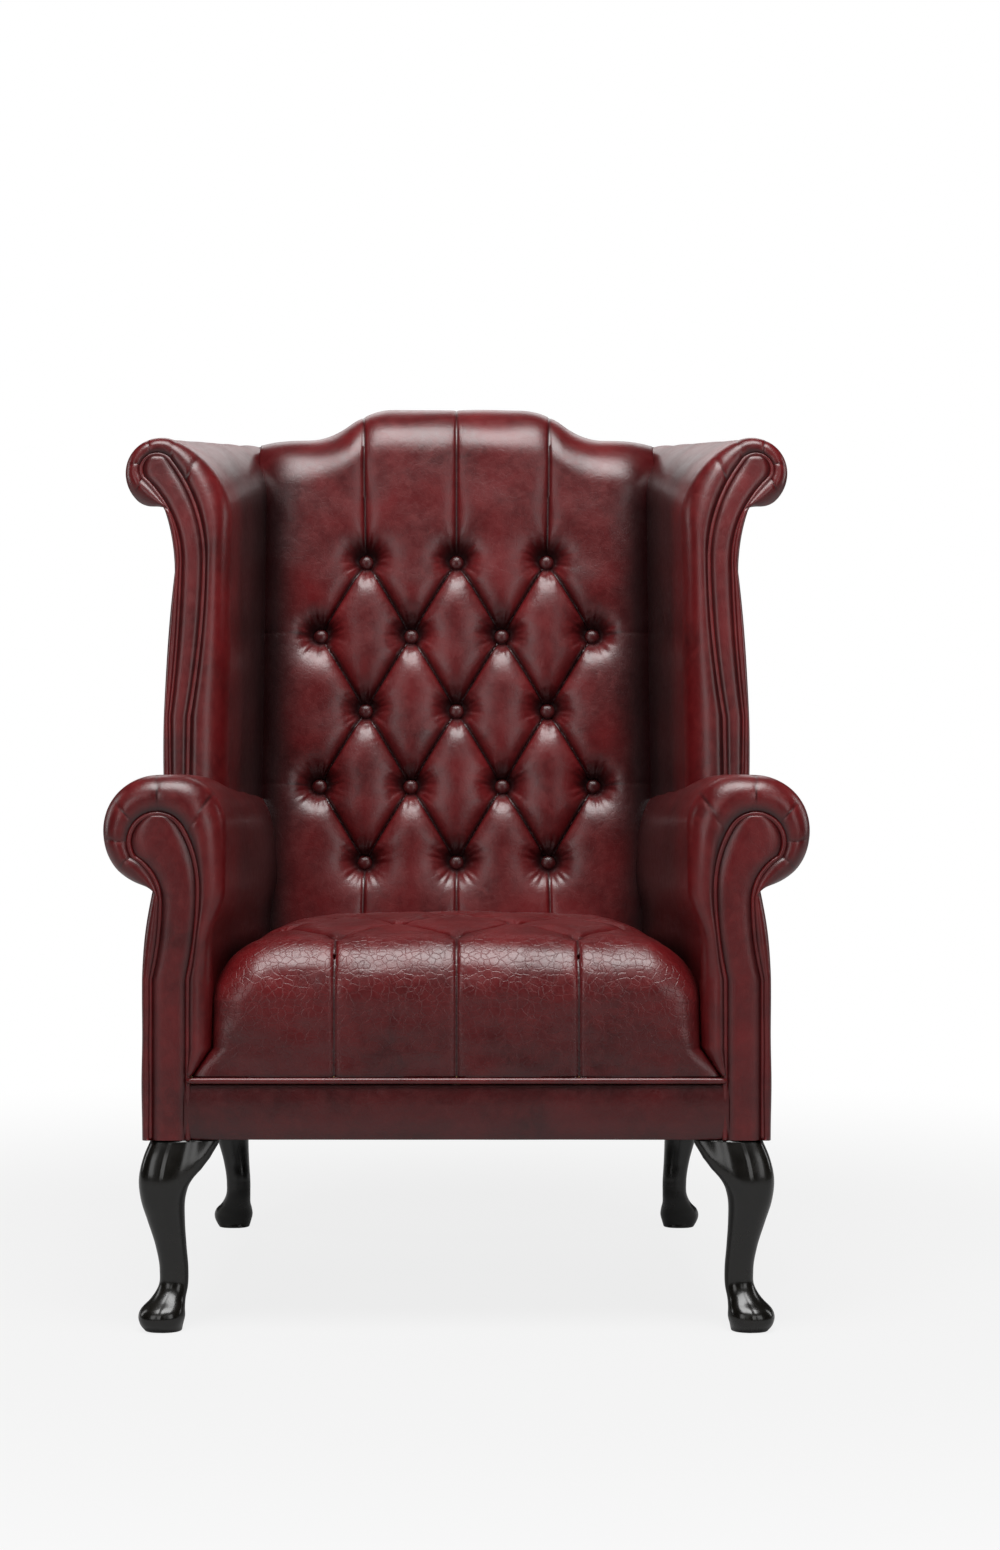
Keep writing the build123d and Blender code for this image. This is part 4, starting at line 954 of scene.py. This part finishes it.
def build_back():
    """The buttoned inside back: one skin from the seat up over the crest and down behind."""
    half, side_run, side_drop, columns = 0.272, 0.075, 0.022, 281
    across = np.linspace(-half, half, columns)
    points, up = back_skin(across)
    pleats, folds = pleats_between(BACK_ROWS, BUTTON_PITCH), back_folds()
    x = drawn_onto(np.broadcast_to(across, up.shape), up, pleats + folds, across[1] - across[0])
    points[..., 0] = x
    drawn, coat_and_shade = tufting(x, up, BACK_BUTTONS, pleats, folds, 11)
    at_side = np.clip((np.abs(x) - (half - side_run)) / side_run, 0, 1)
    drawn = drawn + side_drop * at_side ** 3
    # The folds grow shallow over the crest
    fade = 1 - 0.75 * smooth_step((up - up[BACK_FLAT_ROWS].mean()) / 0.12)
    drawn = drawn * np.where(up > in_plane(CHAIR_HEIGHT - CREST_ROLL), fade, 1)
    swell = 0.0015 * waves(x, up, 5)
    points = points - grid_normals(points) * (drawn - swell)[..., None]
    # Painted shade makes the hide darkest beside the wings, and less so towards the crest
    coat_and_shade = np.maximum(coat_and_shade, 0.95 * smooth_step((np.abs(x) - 0.195) / 0.055)
                      * (1 - 0.6 * smooth_step((up - in_plane(0.98)) / 0.12)))
    every, faces, count = closed_skin(
        points, lambda edge: grid_of(edge[:, 0], outside_y(edge[:, 2]) - 0.010, edge[:, 2]))
    return make_mesh("buttoned_inside_back", every, faces, leather(),
                     np.concatenate([coat_and_shade.ravel(), np.full(count, 0.5)]))


def build_buttons():
    """Seventeen covered buttons in one piece, each a dome with a turned-under rim."""
    look = bpy.context.scene.wingback_padding
    radius, rise, turns = look.button_width / 2, 0.0065, 40
    arch = np.linspace(0.15, math.pi / 2 - 0.05, 12)
    radii = np.concatenate([[radius * 0.80, radius, radius], radius * np.cos(arch)])
    heights = np.concatenate([[-0.003, -0.001, 0.001], 0.001 + rise * np.sin(arch)])
    angle = np.linspace(0, 2 * math.pi, turns, endpoint=False)[:, None]
    tilt = math.atan(BACK_RAKE)
    out = np.array([0, -math.cos(tilt), math.sin(tilt)])
    up = np.array([0, math.sin(tilt), math.cos(tilt)])
    rings = (radii[:, None, None] * (np.cos(angle) * np.array([1, 0, 0]) + np.sin(angle) * up)
             + heights[:, None, None] * out)
    button = np.concatenate([rings.reshape(-1, 3), [out * (0.001 + rise)]])
    last = (len(radii) - 1) * turns
    faces = grid_faces(len(radii), turns, wrap=True)
    faces += [[last + j, last + (j + 1) % turns, last + turns] for j in range(turns)]
    faces.append(list(range(turns))[::-1])
    points, every = [], []
    for number, (x, along) in enumerate(BACK_BUTTONS):
        z = SEAT_EDGE + along / math.hypot(1, BACK_RAKE)
        points.append(np.array([x, inside_y(z), z]) - out * (look.dimple_depth + 0.001) + button)
        every += [[index + number * len(button) for index in face] for face in faces]
    # The buttons are coloured darker all over, as painted shade for the hollows they sit in
    return make_mesh("covered_buttons", np.concatenate(points), every, leather(),
                     np.full(len(button) * len(points), 0.45))


def build_outside_back():
    """The outside back: hide over board and a thin wadding, a little full in its middle."""
    shoulder = CHAIR_HEIGHT - CREST_DROP
    round_start, round_end = 0.287, 0.314
    foot_half, arm_half = 0.335, 0.318
    columns, rows, board = 121, 161, 0.0065
    wadding, ripple, turn_in = 0.0045, 0.0008, 0.004
    u = np.linspace(-1, 1, columns)[None]
    v = np.linspace(0, 1, rows)[:, None]
    level = LEG_HEIGHT + v * (shoulder - LEG_HEIGHT)
    x = u * np.interp(level, [POST_SHOULDER, ARM_HEIGHT, shoulder],
                      [foot_half, arm_half, round_end])
    radius = round_end - round_start
    away = np.clip(np.abs(x) - round_start, 0, radius)
    top = np.where(away > 0, shoulder - radius + np.sqrt(radius ** 2 - away ** 2),
                   np.minimum(crest_height(x), CHAIR_HEIGHT))
    z = LEG_HEIGHT + v * (top - LEG_HEIGHT)
    full = (1 - np.abs(u) ** 8) * (1 - np.abs(2 * v - 1) ** 10)
    soft = wadding * full + ripple * waves(x, z, 61, length=0.25) * full
    turned = turn_in * (1 - full) ** 4
    skin = grid_of(x, outside_y(z) + soft - turned, z)
    inside = grid_of(x, outside_y(z) - board, z)
    edge, size = rim(rows, columns), rows * columns
    faces = [face[::-1] for face in grid_faces(rows, columns)]
    faces += [[index + size for index in face] for face in grid_faces(rows, columns)]
    faces += [[a, a + size, b + size, b] for a, b in zip(edge, edge[1:] + edge[:1])]
    # The cover is coloured darker towards its edges, where the hide turns in
    coat_and_shade = np.concatenate([(0.7 * (1 - full) ** 6).ravel(), np.full(size, 0.5)])
    return make_mesh("outside_back_cover", np.stack([skin, inside]), faces, leather(), coat_and_shade)


# The seat
def seat_tufts(first):
    """The seat's tufts, the pleats between them and the folds that run off them, each across
    and along the hide. The first row lies first up it, counted from the welt."""
    pitch, row_step, rows = 0.139, 0.110, 4
    places = tuft_rows(pitch, [first + row * row_step for row in range(rows)])
    folds = [((x, up), (x, -0.02)) for x, up in places[0]]
    folds += [((x, up), (x, first + 0.6)) for x, up in places[-1]]
    return [place for row in places for place in row], pleats_between(places, pitch), folds


def seat_creases(x, along, pleats, folds, buttons):
    """How deep the seat's hide is drawn in at each point, and how dark its folds are, with their
    dark coat and painted shade.
    """
    drawn, coat_and_shade = np.zeros(x.shape), np.zeros(x.shape)
    for runs, depth, reach, tuck, dark in ((pleats, 0.0065, 0.030, 0.0018, 0.0014),
                                           (folds, 0.0032, 0.014, 0.0016, 0.0013)):
        for start, end in runs:
            _, away, _ = along_and_away(x, along, start, end)
            drawn = np.maximum(drawn, depth * rounded(away, reach) + tuck * bell(away, 0.0016))
            coat_and_shade = np.maximum(coat_and_shade, 0.85 * bell(away, dark))
    chance = np.random.default_rng(23)
    dip_depth, dip_reach = 0.010, 0.036
    for tuft_x, tuft_along in buttons:
        away = np.hypot(x - tuft_x, along - tuft_along)
        dip = dip_depth * np.clip(1 - away / dip_reach, 0, 1) ** 1.8
        drawn = (drawn ** 4 + dip ** 4) ** 0.25
        turn = np.arctan2(along - tuft_along, x - tuft_x)
        spokes = sum(np.cos(count * turn + chance.uniform(0, 6)) for count in (7, 11, 15)) / 2
        drawn = drawn + 0.0007 * spokes * bell(away - 0.014, 0.011)
    return drawn, coat_and_shade


def build_seat():
    """The tufted seat: one skin from the welt up its front, over its nose and back."""
    nose, front, columns, crown_height = 0.068, FRONT_Y + 0.004, 281, 0.018
    rise, quarter = SEAT_EDGE - nose - SEAT_BASE, math.pi / 2
    length = inside_y(SEAT_EDGE) + 0.020 - front - nose
    # The rows run up the front, round the nose and back over the top
    up = np.linspace(0, rise, 60)
    turn = np.linspace(0, quarter, 50)[1:]
    over = np.linspace(0, length, 190)[1:]
    y, z, along, on_top = (np.concatenate(parts)[:, None] for parts in (
        (np.full(len(up), front), front + nose * (1 - np.cos(turn)), front + nose + over),
        (SEAT_BASE + up, SEAT_EDGE - nose + nose * np.sin(turn), np.full(len(over), SEAT_EDGE)),
        (up, rise + nose * turn, rise + nose * quarter + over),
        (np.zeros(len(up)), np.sin(turn), np.ones(len(over)))))
    # The front has a lobe at each side, below the arms' padding
    lobe = (POST_INNER - HALF_SEAT) * np.clip((LOBE_HEIGHT - z) / (LOBE_HEIGHT - SEAT_BASE), 0, 1)
    half = HALF_SEAT - 0.0015 - ARM_INNER_SLOPE * (y - FRONT_Y) + lobe * (on_top < 0.01)
    buttons, pleats, folds = seat_tufts(rise + nose * quarter
                                        + (FRONT_Y + 0.065 - front - nose))
    share = np.linspace(-1, 1, columns)[None]
    x = drawn_onto(half * share, along, pleats + folds, half[0] * (share[0, 1] - share[0, 0]))
    reach = np.clip((y - front - nose) / length, 0, 1)
    crown = crown_height * np.sin(math.pi * reach * 0.88 + 0.38) * on_top
    points = grid_of(x, y, z + crown * (1 - (x / half) ** 2) ** 0.8)
    # Its sides turn down, deeper on the top than on the front
    upper, low = smooth_step((z - LOBE_HEIGHT) / 0.06), smooth_step((z - SEAT_BASE) / 0.05)
    shoulder = 0.085 * on_top + (0.022 + 0.023 * upper) * (1 - on_top)
    deep = 0.052 * on_top + (0.007 + 0.009 * low + 0.006 * upper) * (1 - on_top)
    into = np.clip(1 - (half - np.abs(x)) / shoulder, 0, 1)
    side_drop = deep * (1 - np.sqrt(np.clip(1 - into ** 2, 0, 1)))
    drawn, coat_and_shade = seat_creases(x, along, pleats, folds, buttons)
    swell = (0.0016 * waves(x, along, 31, length=0.10)
             + 0.0007 * waves(x, along, 32, length=0.030))
    points = points - grid_normals(points) * (drawn + side_drop - swell)[..., None]
    # Painted shade: nearly black along the welt, dark where the sides turn down, and darker
    # towards the bottom of the front
    for dark in (0.9 * (1 - smooth_step(along / 0.007)),
                 0.8 * smooth_step((into - 0.75) / 0.25),
                 0.38 * (1 - smooth_step((along - 0.02) / (rise + 0.4 * nose)))):
        coat_and_shade = np.maximum(coat_and_shade, dark)
    # The sitter has bent the hide most over the nose
    bent = bell(along - rise - nose, 0.12) * (0.75 + 0.25 * waves(x, along, 51, length=0.08))
    every, faces, count = closed_skin(
        points, lambda edge: grid_of(edge[:, 0], edge[:, 1], SEAT_BASE + 0.002))
    return make_mesh("tufted_seat", every, faces, leather(),
                     np.concatenate([coat_and_shade.ravel(), np.full(count, 0.5)]),
                     np.concatenate([bent.ravel(), np.zeros(count)]))


def build_border():
    """The covered front rail, full along its length and turned under at its foot."""
    half = POST_INNER + 0.004
    columns, rows, fullness, return_run, tuck_run = 161, 40, 0.004, 0.035, 0.006
    x = np.linspace(-half, half, columns)[None]
    share = np.linspace(0, 1, rows)[:, None]
    height = SEAT_BASE - 0.006 - LEG_HEIGHT
    z = ARM_FOOT + height * share
    puff = fullness * (1 - np.abs(2 * share - 1) ** 3)
    under = 0.0015 * np.clip(1 - share / 0.14, 0, 1) ** 2
    y = FRONT_Y + 0.006 - puff + under + 0.0008 * waves(x, z, 41, length=0.09)
    points = grid_of(x, y, z)
    # The hide turns back under the rail, and its top edge is tucked in behind the welt
    foot, head = points[:1].copy(), points[-1:].copy()
    foot[..., 1] += return_run
    head[..., 1] += tuck_run
    points = np.concatenate([foot, points, head])
    # Painted shade: the cover is darker all over, and nearly black in a band under the welt
    coat_and_shade = 0.42 + 0.5 * np.clip((points[..., 2] - SEAT_BASE + 0.012) / 0.005, 0, 1)
    return make_mesh("front_border_cover", points, grid_faces(rows + 2, columns), leather(),
                     coat_and_shade)


# Legs. Each row of a table is a height, a width and how far the leg swings out, as shares
FOOT_WIDTH, KNEE_WIDTH, KNEE_THROW = 0.052, 0.056, 0.010
FOOT_SHARES = [(0.0, 0.80, 0.86), (0.03, 0.92, 1.0), (0.07, 1.0, 1.0), (0.11, 0.94, 0.9),
               (0.155, 0.76, 0.5), (0.215, 0.645, 0.08)]
KNEE_SHARES = [(0.3, 0.58, 0.0), (0.43, 0.62, 0.3), (0.57, 0.75, 0.8), (0.68, 0.88, 1.12),
               (0.79, 1.0, 1.0), (0.9, 0.97, 0.62), (1.0, 0.89, 0.0)]

# How far the brackets reach in from the middle of a leg, at heights above the floor
EAR_HEIGHTS = (0.0, 0.120, 0.140, 0.150, 0.161, 0.172, 0.183, 0.195, 0.210, 0.217)
EAR_REACHES = (0.004, 0.006, 0.011, 0.0145, 0.0200, 0.0301, 0.0405, 0.0478, 0.0526, 0.0535)


def build_leg(name, block, toe, facing_rear):
    """A cabriole leg with its two brackets, carved in one piece. Its block is given by its
    middle, and its toe by how far it reaches sideways and away from the seat from there."""
    foot = (toe[0] - FOOT_WIDTH / 2, FOOT_WIDTH / 2 - toe[1])
    table = [(h, w * FOOT_WIDTH, foot[0] * pull, foot[1] * pull) for h, w, pull in FOOT_SHARES]
    table += [(h, w * KNEE_WIDTH, KNEE_THROW * pull, -KNEE_THROW * pull)
              for h, w, pull in KNEE_SHARES]
    heights, *columns = zip(*table)
    rows, turns = 92, 96
    share = np.concatenate([[0.0], np.linspace(0, 1, rows - 2), [1.0]])
    width, shift_x, shift_y = (smooth_run(heights, column, share)[:, None]
                               for column in columns)
    share, half = share[:, None], width / 2
    angle = np.linspace(0, 2 * math.pi, turns, endpoint=False)[None]
    squareness = 2.4 + 1.6 * smooth_step((share - 0.6) / 0.4)
    radius = half / (np.abs(np.cos(angle)) ** squareness
                     + np.abs(np.sin(angle)) ** squareness) ** (1 / squareness)
    # Each bracket lies flush with the knee's outer faces and reaches in under the seat
    reach = np.interp(share * LEG_HEIGHT, EAR_HEIGHTS, EAR_REACHES)
    for direction, outward in ((math.pi, 1), (math.pi / 2, -1)):
        aim = np.cos(angle - direction)
        side = np.sin(angle - direction) * outward
        thick = np.where(side > 0, half - 0.006, 0.006)
        bar = 1 / ((np.clip(aim, 0.01, None) / reach) ** 4 + (np.abs(side) / thick) ** 4
                   + 1e-9) ** (1 / 4)
        radius = np.where(aim > 0, (radius ** 6 + bar ** 6) ** (1 / 6), radius)
    # A small flat inside each end keeps its arris crisp
    radius[[0, -1]] *= 0.97
    x = shift_x + radius * np.cos(angle)
    y = shift_y + radius * np.sin(angle)
    faces = ring_faces(rows, turns)
    if facing_rear:
        y = -y
        faces = [face[::-1] for face in faces]
    points = grid_of(block[0] + x, block[1] + y, share * (ARM_FOOT - 0.0003))
    return make_mesh(name, points, faces, black_lacquer())


# Sizes and colours that a user would change
def colour(name, description, hex_colour):
    """A colour setting, whose default is an sRGB hex colour."""
    return bpy.props.FloatVectorProperty(
        name=name, description=description, default=linear(hex_colour), size=4, min=0.0,
        max=1.0, subtype="COLOR")


def length(name, description, default):
    """A setting in metres."""
    return bpy.props.FloatProperty(name=name, description=description, default=default,
                                   unit="LENGTH")


def share_of_one(name, description, default):
    """A setting between 0 and 1."""
    return bpy.props.FloatProperty(name=name, description=description, default=default,
                                   min=0.0, max=1.0, subtype="FACTOR")


class WingbackLeather(bpy.types.PropertyGroup):
    rubbed_colour: colour("Rubbed colour", "The hide where its top coat is rubbed thin",
                          "#6b1216")
    deep_colour: colour("Deep colour", "The hide under its full top coat", "#490a0d")
    worn_colour: colour("Worn colour", "Small mottles that show the dye", "#781c1c")
    # The dark top coat in the folds, also used to paint shade into creases, grooves and recesses
    coat_and_shade_colour: colour("Coat and shade colour", "The top coat left in the folds", "#140203")
    lacquer_colour: colour("Lacquer colour", "The legs", "#0c0b0a")
    roughness: share_of_one("Roughness", "How matt the hide is", 0.35)


class WingbackPadding(bpy.types.PropertyGroup):
    pleat_depth: length("Pleat depth", "Depth of the pleats between the buttons", 0.019)
    pleat_reach: length("Pleat reach", "How far from a pleat its cushion still falls", 0.055)
    tuck_depth: length("Tuck depth", "How deep the hide is tucked in at a pleat's line", 0.0045)
    dimple_depth: length("Button depth", "How deep the buttons are drawn in", 0.031)
    dimple_reach: length("Dimple reach", "How fast the hollow round a button runs out", 0.017)
    fold_depth: length("Fold depth", "Depth of the single folds at the edges", 0.0075)
    fold_reach: length("Fold reach", "Half width of those folds", 0.045)
    pucker: length("Pucker", "Height of the puckers at pleats and buttons", 0.0011)
    button_width: length("Button width", "Diameter of the covered buttons", 0.021)
    roll_depth: length("Roll depth", "How far back the front rolls are rounded", 0.030)
    roll_lift: length("Roll lift", "How far the rolls stand proud of the facings", 0.009)
    held_height: length("Held height", "Up to where the seat presses the arms flat", 0.440)
    inner_turn: share_of_one("Inner turn",
                             "How much deeper the rolls turn on their inner side", 0.25)


class WingbackStage(bpy.types.PropertyGroup):
    floor_colour: colour("Floor colour", "The studio floor", "#a6a6a6")
    lamp_power: bpy.props.FloatProperty(
        name="Lamp power", description="Power that each lamp takes its share of",
        default=135.0, unit="POWER")


def finished(obj, slot, *nodes):
    """Lets a piece ride on the chair and stand for its frame nodes, which it hides. Its slot is
    not used.
    """
    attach(obj, "root")
    if nodes:
        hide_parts(*nodes)
    return obj


def finished_pair(left, slot, *kinds, fill=None):
    """Finishes a left piece and its twin, which stand for nodes of these kinds on their side."""
    right = mirrored(left, left.name.replace("_left", "_right"))
    for obj, side in ((left, "_left"), (right, "_right")):
        finished(obj, slot, *(kind + side for kind in kinds))


def finish_scrolls(kind, pad, plane, runs, puff):
    """Makes the facings and welts of the arms or the wings, and finishes them with the pads."""
    panel = facing_panel(kind + "_facing_panel_left", plane, runs, puff)
    welt = welt_piping(kind + "_welt_piping_left", plane.at(joined(*runs), WELT_SINK),
                       WELT_RADIUS)
    finished_pair(pad, "hide", kind + "_pad", "outside_" + kind, fill=0.9)
    finished_pair(panel, "hide", kind + "_facing")
    finished_pair(welt, "hide", kind + "_welt")


class WINGBACK_OT_back(bpy.types.Operator):
    """Make the buttoned inside back, its covered buttons and the outside back"""
    bl_idname = "wingback.back"
    bl_label = "Buttoned back"

    def execute(self, context):
        finished(build_back(), "hide", "back_pad")
        finished(build_buttons(), "hide", "back_buttons")
        finished(build_outside_back(), "hide", "outside_back")
        return {"FINISHED"}


class WINGBACK_OT_seat(bpy.types.Operator):
    """Make the tufted seat, its welt and the front border"""
    bl_idname = "wingback.seat"
    bl_label = "Tufted seat"

    def execute(self, context):
        finished(build_seat(), "hide", "seat_pad")
        finished(build_border(), "hide", "front_border")
        half, y, z = POST_INNER + 0.001, FRONT_Y + 0.003, SEAT_BASE - 0.003
        path = line((-half, y, z), (half, y, z), 120)
        welt = welt_piping("seat_welt_piping", path, SEAT_WELT_RADIUS)
        finished(welt, "hide", "seat_welt")
        return {"FINISHED"}


class WINGBACK_OT_arms(bpy.types.Operator):
    """Make the scrolled arms with their facings and welts"""
    bl_idname = "wingback.arms"
    bl_label = "Scrolled arms"

    def execute(self, context):
        reach = REAR_Y - FRONT_Y
        rear = arm_outline(HALF_SEAT - ARM_INNER_SLOPE * reach,
                           ARM_OUTER - ARM_OUTER_SLOPE * reach)
        full = arm_outline(HALF_SEAT - ARM_FULL, ARM_OUTER, full_shoulder)
        runs = arm_facing()
        pad = scrolled_pad("scrolled_arm_left", ARM_PLANE, runs,
                           arm_outline(HALF_SEAT, ARM_OUTER), full, Drawing(REAR_Y), rear,
                           ARM_CENTRE, ARM_PLEATS, seed=3, seat_holds=True)
        finish_scrolls("arm", pad, ARM_PLANE, runs, puff=0.0070)
        return {"FINISHED"}


class WINGBACK_OT_wings(bpy.types.Operator):
    """Make the scrolled wings with their facings and welts"""
    bl_idname = "wingback.wings"
    bl_label = "Scrolled wings"

    def execute(self, context):
        runs = wing_facing()
        pad = scrolled_pad("scrolled_wing_left", WING_PLANE, runs, WING_FRONT, WING_FULL,
                           WING_REAR_PLANE, WING_REAR, WING_CENTRE, WING_PLEATS, seed=4)
        finish_scrolls("wing", pad, WING_PLANE, runs, puff=0.0075)
        return {"FINISHED"}


class WINGBACK_OT_legs(bpy.types.Operator):
    """Carve the four cabriole legs"""
    bl_idname = "wingback.legs"
    bl_label = "Cabriole legs"

    def execute(self, context):
        half_block, inset, set_back = KNEE_WIDTH * KNEE_SHARES[-1][1] / 2, 0.008, 0.003
        x, y = ARM_OUTER - inset - half_block, FRONT_Y + set_back + half_block
        front = build_leg("cabriole_front_leg_left", (x, y),
                          (ARM_OUTER + 0.005 - x, y - FRONT_Y + 0.015), False)
        # The back legs stand under the rear posts and turn backward
        outer, rear_frame = 0.335, REAR_Y - 0.075
        x, y = outer - inset - half_block, rear_frame - set_back - half_block
        back = build_leg("cabriole_back_leg_left", (x, y),
                         (outer + 0.002 - x, rear_frame + 0.026 - y), True)
        finished_pair(front, "lacquered_legs", "front_leg")
        finished_pair(back, "lacquered_legs", "back_leg")
        return {"FINISHED"}


class WINGBACK_OT_frame(bpy.types.Operator):
    """Give the timber, springs, webbing and bottom cloth their finishes"""
    bl_idname = "wingback.frame"
    bl_label = "Frame finishes"

    def execute(self, context):
        by_slot = {"frame_timber": sawn_beech(),
                   "springs_and_fixings": drawn_steel(),
                   "hessian_and_webbing": woven("woven_jute", "#8f7448", "#c0a271", 1.6),
                   "dust_cover_cloth": woven("black_bottom_cloth", "#0d0d0d", "#1c1c1c", 0.9),
                   "hide": leather(),
                   "lacquered_legs": black_lacquer()}
        slots = {row["node"]: row["material_slot"] for row in frame["record"]["subparts"]}
        for name, obj in frame["nodes"].items():
            for place in obj.material_slots:
                place.material = by_slot[slots[name]]
        return {"FINISHED"}


# The stage
def build_floor(floor_colour):
    """A pale floor that keeps the chair's shadow and runs into the white surround further out."""
    material, tree, place = start_material("pale_studio_floor")
    near, far, near_white, shown_in_hide = 0.7, 2.2, 0.83, 0.10
    off = node(tree, "ShaderNodeVectorMath", {"operation": "LENGTH", 0: place})
    away = remap(tree, off.outputs["Value"], near, far, near_white, 1.0,
                 interpolation_type="SMOOTHSTEP")
    ray = node(tree, "ShaderNodeLightPath").outputs
    # The hide is no mirror, so it shows only part of the white
    seen = maths(tree, "MULTIPLY_ADD", ray["Is Glossy Ray"], shown_in_hide,
                 ray["Is Camera Ray"])
    seen = maths(tree, "ADD", seen, ray["Is Transmission Ray"], use_clamp=True)
    cloth = node(tree, "ShaderNodeBsdfPrincipled", {"Base Color": floor_colour,
                                                    "Roughness": 0.9})
    white = node(tree, "ShaderNodeEmission", {"Color": (1, 1, 1, 1), "Strength": 1.0})
    both = node(tree, "ShaderNodeMixShader", {0: maths(tree, "MULTIPLY", away, seen),
                                              1: cloth.outputs[0], 2: white.outputs[0]})
    node(tree, "ShaderNodeOutputMaterial", {"Surface": both.outputs[0]})
    wide = 12.0
    corners = [(-wide, -wide, 0), (wide, -wide, 0), (wide, wide, 0), (-wide, wide, 0)]
    make_mesh("studio_floor", np.array(corners), [[0, 1, 2, 3]], material)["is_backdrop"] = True


def build_surround(scene):
    """A surround that the camera sees as white, and that lights the chair only faintly."""
    scene.world = bpy.data.worlds.new("studio_sky")
    scene.world.use_nodes = True
    tree = scene.world.node_tree
    tree.nodes.clear()
    ray = node(tree, "ShaderNodeLightPath").outputs
    clear = maths(tree, "ADD", ray["Is Camera Ray"], ray["Is Transmission Ray"], use_clamp=True)
    lit, seen = (node(tree, "ShaderNodeBackground", {"Color": (1, 1, 1, 1), "Strength": strength})
                 for strength in (0.015, 1.0))
    mix = node(tree, "ShaderNodeMixShader", {0: clear, 1: lit.outputs[0], 2: seen.outputs[0]})
    node(tree, "ShaderNodeOutputWorld", {"Surface": mix.outputs[0]})


# Each soft lamp's name, place, width and height, and share of the power
LAMP_TARGET = (0, 0, 0.6)
LAMPS = (("overhead_softbox", (0.0, -1.6, 4.7), (3.4, 2.6), 1.9),
         ("left_strip", (-2.1, -3.5, 1.7), (1.4, 2.2), 0.15),
         ("right_strip", (2.1, -3.5, 1.7), (1.4, 2.2), 0.15),
         ("left_softbox", (-3.0, 1.0, 1.5), (0.7, 2.0), 0.08),
         ("right_softbox", (3.0, 1.0, 1.5), (0.7, 2.0), 0.08),
         ("rear_softbox", (0.0, 3.6, 3.2), (3.0, 1.6), 0.2))

# The photo's camera: its focal length, sideways shift and picture height in pixels
SENSOR_WIDTH = 36.0
FOCAL_PIXELS, SHIFT_PIXELS, PICTURE_PIXELS = 2655, 43.5, 1550
CAMERA_DISTANCE, CAMERA_HEIGHT = 3.0, 0.629


class WINGBACK_OT_stage(bpy.types.Operator):
    """Make the pale floor, the soft lamps and the camera"""
    bl_idname = "wingback.stage"
    bl_label = "Studio"

    def execute(self, context):
        scene = context.scene
        look = scene.wingback_stage
        scene.view_settings.view_transform = "Standard"
        build_floor(look.floor_colour)
        build_surround(scene)
        for name, place, size, share in LAMPS:
            data = bpy.data.lights.new(name, "AREA")
            data.shape = "RECTANGLE"
            data.size, data.size_y = size
            data.energy = look.lamp_power * share
            lamp = bpy.data.objects.new(name, data)
            lamp.location = place
            aim = Vector(LAMP_TARGET) - Vector(place)
            lamp.rotation_euler = aim.to_track_quat("-Z", "Y").to_euler()
            lamp.visible_camera = False
            scene.collection.objects.link(lamp)
        data = bpy.data.cameras.new("photo_camera")
        data.sensor_fit = "AUTO"
        data.sensor_width = SENSOR_WIDTH
        data.lens = SENSOR_WIDTH * FOCAL_PIXELS / PICTURE_PIXELS
        data.shift_x = SHIFT_PIXELS / PICTURE_PIXELS
        camera = bpy.data.objects.new("photo_camera", data)
        camera.location = (0, FRONT_Y - CAMERA_DISTANCE, CAMERA_HEIGHT)
        camera.rotation_euler = (math.pi / 2, 0, 0)
        scene.collection.objects.link(camera)
        scene.camera = camera
        return {"FINISHED"}


class WINGBACK_PT_panel(bpy.types.Panel):
    """Lists the chair's makers in the sidebar"""
    bl_idname = "WINGBACK_PT_panel"
    bl_label = "Wingback chair"
    bl_space_type = "VIEW_3D"
    bl_region_type = "UI"
    bl_category = "Wingback"

    def draw(self, context):
        for maker in MAKERS:
            self.layout.operator(maker.bl_idname)
        for group in ("wingback_leather", "wingback_padding", "wingback_stage"):
            settings = getattr(context.scene, group)
            for key in settings.__annotations__:
                self.layout.prop(settings, key)


MAKERS = (WINGBACK_OT_stage, WINGBACK_OT_frame, WINGBACK_OT_legs, WINGBACK_OT_back,
          WINGBACK_OT_seat, WINGBACK_OT_arms, WINGBACK_OT_wings)
CLASSES = (WingbackLeather, WingbackPadding, WingbackStage, *MAKERS, WINGBACK_PT_panel)


def register():
    for group in CLASSES:
        bpy.utils.register_class(group)
    bpy.types.Scene.wingback_leather = bpy.props.PointerProperty(type=WingbackLeather)
    bpy.types.Scene.wingback_padding = bpy.props.PointerProperty(type=WingbackPadding)
    bpy.types.Scene.wingback_stage = bpy.props.PointerProperty(type=WingbackStage)


def unregister():
    del bpy.types.Scene.wingback_stage
    del bpy.types.Scene.wingback_padding
    del bpy.types.Scene.wingback_leather
    for group in reversed(CLASSES):
        bpy.utils.unregister_class(group)


def main():
    register()
    bpy.ops.wingback.stage()
    bpy.ops.wingback.frame()
    bpy.ops.wingback.legs()
    bpy.ops.wingback.back()
    bpy.ops.wingback.seat()
    bpy.ops.wingback.arms()
    bpy.ops.wingback.wings()


if __name__ == "__main__":
    main()
